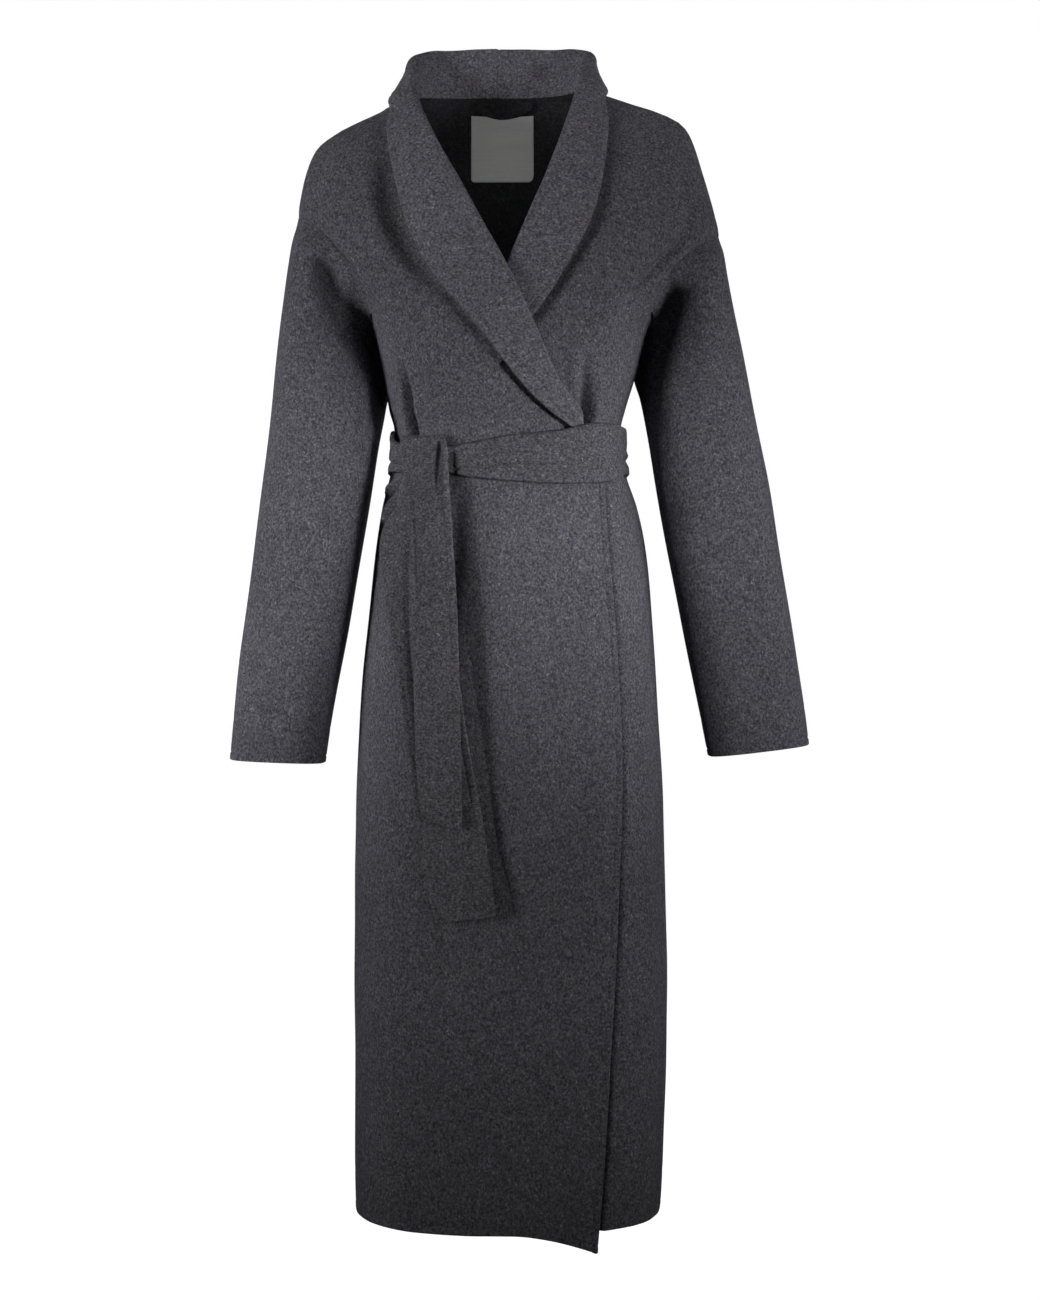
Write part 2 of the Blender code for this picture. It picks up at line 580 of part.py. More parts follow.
def roll_base(side):
    """Seam points where a collar half starts: round the back neck, then down the front's edge."""
    share = np.linspace(0.5, 1.0, BACK_COLUMNS // 2 + 1)
    neck_turn = blend(0.0, 180.0, share)
    if side.name == "left":
        neck_turn = 180.0 - neck_turn
    neck_z = row_levels(neck_turn)[-1]
    turn, z = front_grid(side)
    rows = slice(LAPEL_BOTTOM_ROWS[side.name], FRONT_TOP_ROW + 1)
    front_turns, front_z = turn[rows, -1][::-1], z[rows, -1][::-1]
    return neck_turn, neck_z, front_turns, front_z


ARC = np.radians([-90, -45, 0, 45, 90])
FALL = np.array([0.2, 0.4, 0.6, 0.8, 1.0])


def neck_profile(base, visible, out, turn):
    """Collar cross-section where it stands round the neck: stand, fold and fall."""
    half_turn = np.where(turn < 90, 180 - turn, turn)[:, None]
    up = np.array([0, 0, 1.0])
    wider = 1 + LEFT_WIDER * smooth_step((90 - turn[:, None]) / 40)
    fold = base + out * STAND_AT("fold_out", half_turn) * wider + up * STAND_AT("fold_up", half_turn)
    edge = base + out * STAND_AT("edge_out", half_turn) + up * STAND_AT("edge_up", half_turn)
    down = unit(unit(visible - fold) + unit(edge - fold))
    across = edge - fold
    across = unit(across - down * np.sum(across * down, axis=-1, keepdims=True))
    points = [visible]
    radius = STAND_AT("radius", half_turn)
    arc = [fold + radius * (down * (1 - math.cos(a)) + across * math.sin(a)) for a in ARC]
    points.append(blend(visible, arc[0], 0.5))
    points += arc
    for t in FALL:
        points.append(blend(arc[-1], edge, t) + across * FALL_BULGE * math.sin(math.pi * t))
    return np.stack(points, axis=1)


def lapel_profile(side, visible, z):
    """Collar cross-section where it lies on the front: fold and lapel."""
    at = LAPEL_AT[side.name]
    radius = at("radius", z)

    def on_front(reach, level, lift):
        x = NECK_X + side.sign * reach
        base = over_room(x, level) if side.name == "right" else 0.0
        return lifted(front_turn(x, level), level, base + lift)

    roll = at("roll", z)
    edge, edge_z = at("edge", z), at("edge_z", z)
    points = [visible]
    arc = []
    for a in ARC:
        arc.append(on_front(roll + radius * (1 - math.cos(a)), z, radius - CLOTH + radius * math.sin(a)))
    points.append(blend(visible, arc[0], 0.5))
    points += arc
    top = 2 * radius - CLOTH
    for t in FALL:
        reach = blend(roll + radius, edge, t)
        level = blend(z, edge_z, t)
        points.append(on_front(reach, level, blend(top, at("edge_lift", z), t)))
    return np.stack(points, axis=1)


def collar_grid(side):
    """Visible face of a collar half, one row for each station from the centre back down."""
    neck_turn, neck_z, front_turns, front_z = roll_base(side)
    turn = np.concatenate([neck_turn, front_turns])
    z = np.concatenate([neck_z, front_z])
    in_front = np.arange(len(turn)) >= len(neck_turn)
    base_lift = np.zeros(len(turn))
    if side.name == "right":
        base_lift = np.where(in_front, over_room(shell(turn, z)[:, 0], z), 0.0)
    base = lifted(turn, z, base_lift)
    visible = lifted(turn, z, base_lift - CLOTH)
    out = base - np.array([NECK_X, 0, 0])
    out[:, 2] = 0
    out = unit(out)
    neck = neck_profile(base[:len(neck_turn)], visible[:len(neck_turn)], out[:len(neck_turn)], neck_turn)
    lapel = lapel_profile(side, visible[len(neck_turn):], front_z)
    carried = neck[-1][None] + (base[len(neck_turn):] - base[len(neck_turn) - 1])[:, None]
    share = smooth_step((side.neck_z - front_z) / STAND_FADE)[:, None, None]
    lapel = blend(carried, lapel, share)
    return np.concatenate([neck, lapel]), base


def make_collar():
    for side, name in ((SIDES["right"], "collar_right"), (SIDES["left"], "collar_left")):
        face, base = collar_grid(side)
        mirrored = face[1:2] * np.array([-1, 1, 1]) + np.array([2 * face[0, 0, 0], 0, 0])
        normals = grid_normals(np.concatenate([mirrored, face]))[1:]
        hidden = face + side.sign * CLOTH * normals
        hidden[:, 0] = base
        wall(name, "wool", shrink(face, ("bottom", "first")), shrink(hidden, ("bottom", "first")))


def armhole_loop(side):
    """Armhole points on the panels' edges, from the tip down the front and up the back."""
    levels = seam_levels(side)[len(SKIRT_ROWS):len(SKIRT_ROWS) + HOLE_ROWS + 1]
    front = side_edge(side, levels, "front")
    back = side_edge(side, levels, "back")
    turn = np.concatenate([front[::-1], back[1:-1]])
    z = np.concatenate([levels[::-1], levels[1:-1]])
    return turn, z


def folded_depth(around, fold_from):
    """Depth round a sleeve ring, as a share: round, but straight between its folds and its inner line."""
    cos, depth = np.cos(around), np.abs(np.sin(around))
    start = math.radians(fold_from)
    chord = math.sin(start) * (cos + 1) / max(math.cos(start) + 1, TINY)
    past = np.minimum(around, 2 * np.pi - around) - start
    return blend(depth, np.minimum(chord, depth), FOLD_SHARE * smooth_step(past / FOLD_TURN))


def make_sleeves():
    for side in SIDES.values():
        turn, z = armhole_loop(side)
        loop = shell(turn, z)
        count = len(turn)
        around = np.arange(count) * 2 * np.pi / count
        rings = [loop]
        for ring in SLEEVE_RINGS[side.name]:
            outer = np.array([ring.outer_x, ring.outer_y, ring.outer_z])
            inner = np.array([ring.inner_x, ring.inner_y, ring.inner_z])
            reach = np.where(np.sin(around) > 0, -ring.front, ring.back)
            spoke = (outer + inner) / 2 + np.cos(around)[:, None] * (outer - inner) / 2
            spoke[:, 1] += folded_depth(around, ring.fold_from) * reach
            rings.append(spoke)
        grid = np.array(rings)
        normals = grid_normals(grid, closed=True)
        middle = grid.mean(axis=1, keepdims=True)
        facing = np.sum(normals * (grid - middle), axis=-1).mean()
        normals *= np.sign(facing)
        seam = shell_normal(turn, z)
        agree = np.sum(seam * normals[0], axis=-1, keepdims=True)
        like_panel = smooth_step((agree - SLEEVE_SEAM_LIKE) / (SLEEVE_SEAM_ALIKE - SLEEVE_SEAM_LIKE))
        normals[0] = unit(blend(normals[0], seam, like_panel))
        outer = shrink(grid, ("bottom",))
        inner = shrink(grid - CLOTH * normals, ("bottom",))
        wall("sleeve_" + side.name, "wool", outer, inner, closed=True)


def make_belt():
    turn = np.linspace(0, 360, BAND_COLUMNS, endpoint=False)
    rows = np.linspace(0, 1, len(BAND_SHAPE))
    top, bottom, lift = (BAND_AT(name, turn) for name in ("top", "bottom", "lift"))
    z = blend(bottom[None, :], top[None, :], rows[:, None])
    roll = BAND_ROLL * np.array(BAND_SHAPE)[:, None] + 0 * z
    outer = lifted(turn[None, :], z, lift[None, :] + BELT_CLOTH + roll)
    inner = lifted(turn[None, :], z, lift[None, :] + BAND_ROLL_INSIDE * roll)
    wall("belt_wrap", "wool_belt", outer, inner, closed=True)


def strip_grid(rows):
    track = Track(rows)
    step = np.linspace(0, len(rows) - 1, (len(rows) - 1) * STRIP_ROWS_PER_STEP + 1)
    share = np.linspace(0, 1, STRIP_COLUMNS + 1)[None, :]
    x = blend(track("left", step)[:, None], track("right", step)[:, None], share)
    z = blend(track("z_left", step)[:, None], track("z_right", step)[:, None], share)
    lift = track("lift", step)[:, None] + STRIP_CROWN * np.sin(np.pi * share)
    return lifted(front_turn(x, z), z, lift)


def make_belt_ends():
    for name, rows in (("belt_end_front", FRONT_END), ("belt_end_back", BACK_END)):
        face = strip_grid(rows)
        normals = grid_normals(face)
        if normals[-1, 0, 1] > 0:
            normals = -normals
        wall(name, "wool_belt", face, face - BELT_CLOTH * normals)


def back_patch(name, finish, x, z, lift, cloth):
    """A small strip or patch inside the back neck."""
    middle = BODY_AT("middle", z)
    reach = np.where(x > middle, BODY_AT("right", z) - middle, middle - BODY_AT("left", z))
    turn = np.degrees(np.arccos((x - middle) / reach))
    outer = lifted(turn, z, lift)
    inner = lifted(turn, z, lift - cloth)
    wall(name, finish, outer, inner)


def make_neck_trims():
    across = np.linspace(0, 1, 9)
    down = np.linspace(0, 1, 7)[:, None]
    x = blend(LABEL_LEFT, LABEL_RIGHT, across)[None, :] + 0 * down
    z = blend(LABEL_BOTTOM, LABEL_TOP, down) + 0 * x
    back_patch("label", "satin", x, z, -CLOTH - LABEL_AIR + 0 * x, LABEL_CLOTH)
    across = np.linspace(0, 1, 13)
    down = np.linspace(0, 1, 3)[:, None]
    x = blend(LOOP_LEFT, LOOP_RIGHT, across)[None, :] + 0 * down
    sag = (LOOP_TOP - LOOP_DIP - LOOP_HEIGHT) * np.sin(np.pi * across) ** LOOP_SAG_POWER
    z = LOOP_TOP - LOOP_HEIGHT - sag[None, :] + LOOP_HEIGHT * down
    stand_off = CLOTH + LOOP_AIR + LOOP_STAND_OFF * np.sin(np.pi * across)[None, :] + 0 * z
    back_patch("hanger_loop", "wool", x, z, -stand_off, CLOTH)


def main():
    for item in list(bpy.data.objects):
        bpy.data.objects.remove(item, do_unlink=True)
    make_back()
    make_fronts()
    make_collar()
    make_sleeves()
    make_belt()
    make_belt_ends()
    make_neck_trims()


main()
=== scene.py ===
"""Looks of the long wrap coat: fine cloth pieces over its solids, with felled edges and creases.

Metres, +Z up, the front faces -Y. Points on the coat's outer face are found by their turn and level.
Turn is in degrees round the body: 0 at the side on +X, 90 at the centre back, 180 at the side on -X
and 270 at the centre front.
"""

import math
from collections import namedtuple

import bpy
import numpy as np
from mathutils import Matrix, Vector


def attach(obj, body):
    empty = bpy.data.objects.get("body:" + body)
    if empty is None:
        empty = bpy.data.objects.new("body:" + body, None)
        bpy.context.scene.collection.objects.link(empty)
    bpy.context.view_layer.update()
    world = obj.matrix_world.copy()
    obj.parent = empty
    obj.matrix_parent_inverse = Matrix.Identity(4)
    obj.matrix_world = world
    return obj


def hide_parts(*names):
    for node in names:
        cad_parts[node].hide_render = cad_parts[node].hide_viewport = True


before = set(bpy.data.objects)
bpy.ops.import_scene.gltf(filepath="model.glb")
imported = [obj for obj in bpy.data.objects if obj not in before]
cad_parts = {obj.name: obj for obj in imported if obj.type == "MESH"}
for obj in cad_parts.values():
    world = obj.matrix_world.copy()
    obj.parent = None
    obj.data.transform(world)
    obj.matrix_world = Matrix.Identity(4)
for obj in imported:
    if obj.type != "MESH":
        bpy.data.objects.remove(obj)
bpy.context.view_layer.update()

MM = 0.001


def table(columns, *rows):
    """Rows with named columns; a star marks a column that is written in millimetres."""
    row_of = namedtuple("Row", columns.replace("*", ""))
    starred = [column.endswith("*") for column in columns.split()]
    return [row_of(*(value * MM if mm else value for value, mm in zip(row, starred))) for row in rows]


# Thickness of the cloth, of the belt (folded cloth) and of the label, and the air behind the label.
CLOTH = 2.0 * MM
BELT_CLOTH = 2.5 * MM
LABEL_CLOTH = 1.0 * MM
LABEL_AIR = 1.4 * MM

# The neck sits a little towards -X, because the coat hangs slightly askew.
NECK_X = -0.0114
BACK_NECK_Z = 0.0255
HEM_Z = -1.193
HEM_SHAPED_TO = -0.95
HEM_POINT_DROP = 0.021
HEM_POINT_X = 0.089

# The shell's levels: its reach to each side of its middle, its depth in front and behind, and how
# square its halves are (2 is an ellipse).
BODY = table(
    "z left middle right front back front_power back_power",
    (-1.21, -.164, 0, .161, .136, .132, 2.5, 2.3),
    (-1.18, -.1655, 0, .1655, .136, .132, 2.5, 2.3),
    (-1.1, -.1665, 0, .169, .134, .131, 2.4, 2.3),
    (-.95, -.1668, 0, .172, .13, .13, 2.3, 2.2),
    (-.77, -.1655, 0, .168, .124, .128, 2.2, 2.2),
    (-.62, -.1575, 0, .16, .119, .126, 2.2, 2.2),
    (-.53, -.1485, 0, .154, .116, .121, 2.2, 2.2),
    (-.48, -.143, 0, .148, .112, .112, 2.2, 2.2),
    (-.44, -.1365, 0, .1395, .106, .1, 2.2, 2.2),
    (-.4, -.1265, 0, .1265, .098, .088, 2.2, 2.2),
    (-.375, -.1225, 0, .1225, .096, .085, 2.2, 2.2),
    (-.353, -.1235, 0, .1225, .098, .086, 2.2, 2.2),
    (-.335, -.1285, 0, .1265, .103, .09, 2.2, 2.2),
    (-.297, -.135, 0, .1375, .111, .098, 2.2, 2.2),
    (-.262, -.143, 0, .146, .116, .103, 2.2, 2.2),
    (-.235, -.15, 0, .156, .116, .105, 2.2, 2.2),
    (-.205, -.171, -.001, .182, .113, .106, 2.2, 2.2),
    (-.186, -.188, -.002, .2, .11, .106, 2.2, 2.2),
    (-.165, -.206, -.003, .218, .106, .106, 2.2, 2.2),
    (-.143, -.219, -.004, .228, .101, .106, 2.2, 2.2),
    (-.12, -.228, -.0055, .2235, .095, .106, 2.2, 2.2),
    (-.095, -.2245, -.0075, .217, .088, .105, 2.1, 2.1),
    (-.071, -.2185, -.0092, .21, .078, .102, 2, 2),
    (-.049, -.2087, -.0104, .2035, .066, .098, 1.8, 1.8),
    (-.03, -.185, -.0109, .1955, .05, .094, 1.7, 1.7),
    (-.02, -.166, -.0111, .187, .041, .091, 1.6, 1.6),
    (-.008, -.141, -.0113, .163, .032, .088, 1.6, 1.6),
    (-.001, -.13, -.0114, .1405, .027, .085, 1.6, 1.6),
    (.0085, -.107, -.0114, .113, .021, .081, 1.6, 1.7),
    (.02, -.092, -.0114, .0842, .014, .075, 1.6, 1.9),
    (.0255, -.084, -.0114, .067, .012, .07, 1.6, 2),
)

# Largest folds of the shell: where each runs round the body and between which levels, how far it
# leans round the body on the way down, how fast it fades, its width (degrees) and its height.
FOLDS = table(
    "turn lean top bottom fade width rise*",
    (50, -5, -.41, -1.5, .3, 9, 4.5),
    (69, -3, -.41, -1.5, .26, 7, -4),
    (87, 2, -.41, -1.5, .34, 8, 4),
    (108, 4, -.41, -1.5, .24, 7.5, -3.5),
    (128, 6, -.41, -1.5, .3, 9, 5),
    (206, 4, -.42, -1.5, .32, 9, 3),
    (238, 8, -.55, -1.5, .4, 10, -2.5),
    (334, -3, -.42, -1.5, .3, 8, 3),
    (258, 6, -.4, -.72, .1, 16, 3),
    (62, 10, -.17, -.36, .07, 9, 4),
    (96, -3, -.2, -.36, .06, 8, 3.5),
    (122, -9, -.17, -.36, .07, 9, 4.5),
    (234.5, 6, -.02, -.25, .08, 6.5, -8),
    (309, -3, -.03, -.21, .07, 8, -2),
    (234, 6, -.18, -.36, .07, 13, 2),
)

# Each side's shoulder tip, armpit and neck point, how far the armhole reaches round the body, and
# the row where its lapel ends below.
SIDES = {side.name: side for side in table(
    "name lap sign seam_turn tip_z armpit_z neck_z hole_front hole_back lapel_row",
    ("right", "over", -1, 180, -.122, -.235, .0085, 29, 26, 9),
    ("left", "under", 1, 0, -.143, -.235, .02, 28, 26, 11),
)}
HOLE_SQUARENESS = 0.4

# Levels of the rows below the armhole, and the shares of the rows between armhole tip and neck.
SKIRT_ROWS = (HEM_Z, -1.08, -.94, -.79, -.65, -.55, -.48, -.435, -.405, -.375, -.350, -.320, -.290, -.262)
HOLE_ROWS = 11
HOLE_ROWS_EASE = 0.6
SHOULDER_ROWS = (0.12, 0.25, 0.38, 0.51, 0.64, 0.76, 0.88, 0.97, 1.0)
FRONT_TOP_ROW = len(SKIRT_ROWS) + HOLE_ROWS + len(SHOULDER_ROWS) - 1

# The free edges of the fronts below the collar (the over front's x, and the under front's).
EDGES = table(
    "z over under",
    (-1.21, .091, -.1), (-1.115, .0985, -.102), (-1.037, .103, -.105), (-.88, .112, -.109),
    (-.707, .1168, -.109), (-.597, .1118, -.106), (-.523, .106, -.103), (-.477, .1018, -.1),
    (-.417, .0985, -.095), (-.395, .095, -.088), (-.375, .088, -.079),
)

# Lapels: at each level the roll line's reach from the neck's middle towards its own side, the outer
# edge's reach and level, the fold's radius and the outer edge's height over the front.
LAPEL = "z roll edge edge_z radius* edge_lift*"
LAPELS = {
    "over": table(
        LAPEL,
        (-.376, -.107, -.101, -.377, 2.9, 3.6),
        (-.356, -.0974, -.078, -.36, 3.2, 3.8),
        (-.309, -.0623, -.036, -.325, 3.4, 4),
        (-.283, -.0508, -.018, -.304, 3.6, 4.2),
        (-.238, -.0311, .012, -.2655, 4.2, 4.5),
        (-.186, -.0063, .052, -.217, 4.5, 4.5),
        (-.142, .0166, .079, -.175, 4.5, 4.5),
        (-.105, .0361, .096, -.136, 4.5, 4.5),
        (-.08, .05, .104, -.105, 4.8, 4.5),
        (-.038, .0706, .1155, -.052, 5.5, 4.5),
        (-.015, .08, .1185, -.027, 6.5, 4.5),
        (.0085, .089, .1185, -.008, 7.5, 4.5),
    ),
    "under": table(
        LAPEL,
        (-.35, -.065, -.056, -.352, 2.4, 2.8),
        (-.32, -.048, -.032, -.33, 2.4, 2.8),
        (-.283, -.03, 0, -.3, 2.4, 2.8),
        (-.238, -.01, .025, -.26, 2.4, 2.8),
        (-.2, .006, .048, -.23, 2.4, 2.8),
        (-.18, .0146, .064, -.205, 3.4, 3.6),
        (-.15, .027, .08, -.176, 4.5, 4.5),
        (-.124, .0374, .094, -.15, 4.5, 4.5),
        (-.087, .0527, .106, -.113, 4.8, 4.5),
        (-.047, .0667, .114, -.065, 5.5, 4.5),
        (-.005, .0795, .118, -.02, 6.5, 4.5),
        (.02, .0884, .118, .004, 7.5, 4.5),
    ),
}
# The front's edge lies this far from the roll line, along a level.
ROLL_TO_SEAM = 6.8 * MM
# Below the lapel the free edge moves from the roll line to the wrap's edge over this height.
EDGE_SWITCH = 0.030

# Collar round the back neck: how far the fold and the outer edge lie outwards of and above the
# neck seam, by turn from the centre back (90) to the neck point (180).
STAND = table(
    "turn fold_out fold_up edge_out edge_up radius*",
    (90, -.005, .0535, .019, -.0175, 4.5),
    (110, .003, .055, .02, -.0175, 4.5),
    (130, .0265, .0575, .0285, -.0145, 5),
    (145, .028, .0515, .032, -.0105, 7),
    (160, .0125, .036, .031, -.0065, 9),
    (172, -.0005, .02, .027, -.005, 8.5),
    (180, -.0045, .012, .024, -.0045, 7.5),
)
FALL_BULGE = 4.5 * MM
# The left half of the collar stands out a little more, by this share.
LEFT_WIDER = 0.17
# The stand fades into the lapel over this drop below the neck point.
STAND_FADE = 0.030

# Room that the over front leaves above the under front: at the chest for the lapel, below for cloth.
ROOM = table(
    "z lift*",
    (-1.21, 3.2), (-.38, 3.2), (-.355, 3.6), (-.335, 6.2),
    (.03, 6.2),
)
ROOM_RAMP = 0.046
ROOM_MARGIN = 4 * MM

# Sleeves: outer and inner outline of each ring, its reach to front and back, and where round it
# (degrees from the outer line) the cloth folds back under the arm, 180 for nowhere.
RING = "outer_x outer_z inner_x inner_z front back outer_y inner_y fold_from"
SLEEVE_RINGS = {
    "right": table(
        RING,
        (-.233, -.148, -.144, -.251, .064, .062, 0, .022, 86),
        (-.2384, -.178, -.14, -.27, .066, .064, -.001, .028, 84),
        (-.2438, -.219, -.1315, -.297, .067, .065, -.002, .034, 92),
        (-.2502, -.275, -.1345, -.33, .066, .065, -.003, .02, 116),
        (-.2574, -.345, -.1412, -.375, .064, .063, -.005, -.004, 145),
        (-.2659, -.4185, -.1495, -.43, .061, .061, -.008, -.016, 165),
        (-.2742, -.4837, -.1605, -.5, .058, .058, -.011, -.02, 180),
        (-.2825, -.5489, -.1715, -.564, .055, .055, -.014, -.02, 180),
        (-.2907, -.6141, -.1838, -.629, .052, .052, -.017, -.021, 180),
        (-.2969, -.6793, -.1936, -.688, .05, .049, -.02, -.022, 180),
        (-.2989, -.7087, -.1976, -.713, .049, .048, -.021, -.022, 180),
    ),
    "left": table(
        RING,
        (.2325, -.162, .149, -.253, .064, .062, 0, .022, 86),
        (.2374, -.19, .1437, -.266, .066, .064, -.001, .028, 84),
        (.2433, -.223, .138, -.287, .067, .065, -.002, .034, 92),
        (.2527, -.27, .144, -.32, .066, .065, -.003, .014, 116),
        (.2665, -.34, .1515, -.365, .064, .063, -.005, -.004, 145),
        (.2796, -.406, .1601, -.4185, .061, .061, -.008, -.016, 165),
        (.2907, -.476, .1722, -.49, .058, .058, -.011, -.02, 180),
        (.3013, -.54, .185, -.554, .055, .055, -.014, -.02, 180),
        (.3109, -.605, .1979, -.619, .052, .052, -.017, -.021, 180),
        (.3204, -.668, .2102, -.681, .05, .049, -.02, -.022, 180),
        (.3228, -.693, .2156, -.706, .049, .048, -.021, -.022, 180),
    ),
}

# The fold under the arm bends within this angle (radians) round the sleeve, by this share.
FOLD_TURN = 0.45
FOLD_SHARE = 0.85
TINY = 1e-6

# Belt round the waist: its top, bottom and the height of its inner face over the coat.
BAND = table(
    "turn top bottom lift*",
    (0, -.352, -.403, .8),
    (45, -.347, -.406, .8),
    (90, -.345, -.407, .8),
    (135, -.347, -.406, .8),
    (180, -.3554, -.4022, .8),
    (193, -.3575, -.403, 2.5),
    (203, -.369, -.4035, 8),
    (214, -.375, -.4045, 8.4),
    (239, -.381, -.4071, 8.2),
    (251, -.3775, -.4127, 6.6),
    (270, -.369, -.4167, 5.6),
    (293, -.3634, -.4201, 8.4),
    (315, -.3534, -.4185, 9.4),
    (328, -.353, -.4127, 7.2),
    (342, -.3531, -.4045, 2.5),
    (360, -.352, -.403, .8),
)
# The belt's cloth bulges outwards between its edges, with a trough along its middle; its inner face
# follows with a share of that.
BAND_ROLL = 2.2 * MM

# Belt ends: the height of the outer face over the coat, and the edges of the strip, down its run.
STRIP = "z_left z_right left right lift*"
FRONT_END = table(
    STRIP,
    (-.396, -.396, -.101, -.069, 3.9),
    (-.38, -.38, -.102, -.068, 3.9),
    (-.369, -.369, -.1028, -.067, 5.2),
    (-.3655, -.3665, -.1035, -.065, 9),
    (-.369, -.37, -.103, -.062, 13.6),
    (-.378, -.379, -.1012, -.0595, 16),
    (-.395, -.396, -.0997, -.0582, 17.5),
    (-.412, -.414, -.0974, -.0571, 19),
    (-.435, -.437, -.0934, -.0553, 20.5),
    (-.478, -.479, -.0901, -.0518, 22),
    (-.545, -.546, -.0886, -.0477, 23),
    (-.63, -.632, -.0873, -.0455, 23),
    (-.706, -.71, -.0865, -.045, 22),
    (-.7654, -.7778, -.0818, -.0443, 20.5),
)
BACK_END = table(
    STRIP,
    (-.413, -.413, -.0985, -.0655, 7.6),
    (-.428, -.428, -.103, -.065, 8.4),
    (-.44, -.44, -.1085, -.065, 8.8),
    (-.456, -.455, -.119, -.0665, 9.4),
    (-.485, -.485, -.1243, -.0665, 10.2),
    (-.529, -.529, -.1202, -.062, 11),
    (-.586, -.586, -.1121, -.0535, 11.8),
    (-.698, -.696, -.0973, -.0385, 12.5),
    (-.7909, -.7833, -.0873, -.0235, 12.5),
    (-.8739, -.866, -.07, -.0121, 12.5),
)
STRIP_CROWN = 0.6 * MM

# Label and hanger loop inside the back neck.
LABEL_LEFT, LABEL_RIGHT = -.0429, .0283
LABEL_TOP, LABEL_BOTTOM = .0070, -.0624
LOOP_LEFT, LOOP_RIGHT = -.0400, .0280
LOOP_TOP, LOOP_DIP, LOOP_HEIGHT = .0225, .0060, .0080
LOOP_SAG_POWER = 0.7
LOOP_AIR, LOOP_STAND_OFF = 2.2 * MM, 2.5 * MM


def hermite(t, step, value_a, slope_a, value_b, slope_b):
    """Smooth curve between two values with these slopes, at a share t of the step between them."""
    return ((1 + 2 * t) * (1 - t) ** 2 * value_a + t * (1 - t) ** 2 * step * slope_a
            + t * t * (3 - 2 * t) * value_b + t * t * (t - 1) * step * slope_b)


class Track:
    """Smooth curves through a table's rows, one for each column, that never overshoot a row.

    The key is the column to look up by; without one, it is the row's number.
    """

    def __init__(self, rows, key=None):
        if key:
            rows = sorted(rows, key=lambda row: getattr(row, key))
        self.keys = np.array([getattr(row, key) if key else k for k, row in enumerate(rows)], float)
        self.curves = {}
        for name, values in zip(rows[0]._fields, np.array(rows, float).T):
            rise = np.diff(values) / np.diff(self.keys)
            slope = np.concatenate(([rise[0]], np.zeros(len(values) - 2), [rise[-1]]))
            for k in range(1, len(values) - 1):
                if rise[k - 1] * rise[k] > 0:
                    slope[k] = 2.0 / (1.0 / rise[k - 1] + 1.0 / rise[k])
            self.curves[name] = (values, slope)

    def __call__(self, name, where):
        keys, (value, slope) = self.keys, self.curves[name]
        where = np.clip(where, keys[0], keys[-1])
        k = np.clip(np.searchsorted(keys, where, side="right") - 1, 0, len(keys) - 2)
        step = keys[k + 1] - keys[k]
        return hermite((where - keys[k]) / step, step, value[k], slope[k], value[k + 1], slope[k + 1])


BODY_AT = Track(BODY, "z")
EDGE_AT = Track(EDGES, "z")
ROOM_AT = Track(ROOM, "z")
STAND_AT = Track(STAND, "turn")
BAND_AT = Track(BAND, "turn")
LAPEL_AT = {lap: Track(rows, "z") for lap, rows in LAPELS.items()}


def smooth_step(t):
    t = np.clip(t, 0.0, 1.0)
    return t * t * (3 - 2 * t)


def unit(vectors):
    return vectors / np.linalg.norm(vectors, axis=-1, keepdims=True)


def blend(a, b, t):
    return a + (b - a) * t


def bell(away, width):
    """1 at no distance away, falling off smoothly within about this width."""
    return np.exp(-(away / width) ** 2)


def fold_rise(turn, z):
    """Height that the largest folds add to the shell."""
    rise = 0.0 * turn
    for fold in FOLDS:
        down = np.clip((fold.top - z) / (fold.top - fold.bottom), 0, 1)
        away = (turn - fold.turn - fold.lean * down + 180.0) % 360.0 - 180.0
        ends = smooth_step((fold.top - z) / fold.fade) * smooth_step((z - fold.bottom) / fold.fade)
        rise = rise + fold.rise * ends * bell(away, fold.width)
    return rise


def shell(turn, z):
    """Points of the coat's outer face."""
    turn, z = np.broadcast_arrays(np.asarray(turn, float), np.asarray(z, float))
    cos, sin = np.cos(np.radians(turn)), np.sin(np.radians(turn))
    middle = BODY_AT("middle", z)
    reach = np.where(cos > 0, BODY_AT("right", z) - middle, middle - BODY_AT("left", z))
    depth = np.where(sin < 0, BODY_AT("front", z), BODY_AT("back", z))
    power = np.where(sin < 0, BODY_AT("front_power", z), BODY_AT("back_power", z))
    y = np.sign(sin) * depth * np.clip(1 - np.abs(cos) ** power, 0, 1) ** (1 / power)
    y = y + sin * fold_rise(turn, z)
    return np.stack([middle + reach * cos, y, z], axis=-1)


def shell_normal(turn, z, step=3.0, rise=3 * MM):
    """Outward directions of the coat's outer face."""
    turn, z = np.broadcast_arrays(np.asarray(turn, float), np.asarray(z, float))
    around = shell(turn + step, z) - shell(turn - step, z)
    up = shell(turn, z + rise) - shell(turn, z - rise)
    return unit(np.cross(around, up))


def lifted(turn, z, lift):
    """Points at a height over the coat's outer face; a negative lift lies inside it."""
    lift = np.asarray(lift, float)[..., None]
    return shell(turn, z) + lift * shell_normal(turn, z)


def back_turn(x, z):
    """Turn of the point of the back that has this x at this level."""
    middle = BODY_AT("middle", z)
    reach = np.where(x > middle, BODY_AT("right", z) - middle, middle - BODY_AT("left", z))
    return np.degrees(np.arccos(np.clip((x - middle) / reach, -1, 1)))


def front_turn(x, z):
    """Turn of the point of the front that has this x at this level."""
    return 360.0 - back_turn(x, z)


def free_edge(side, z):
    """The x of a front's free edge: beside the lapel's roll line, and below it the wrap's edge."""
    roll = NECK_X + side.sign * (LAPEL_AT[side.lap]("roll", z) + ROLL_TO_SEAM)
    share = smooth_step((z - SKIRT_ROWS[side.lapel_row]) / EDGE_SWITCH + 1)
    return blend(EDGE_AT(side.lap, z), roll, share)


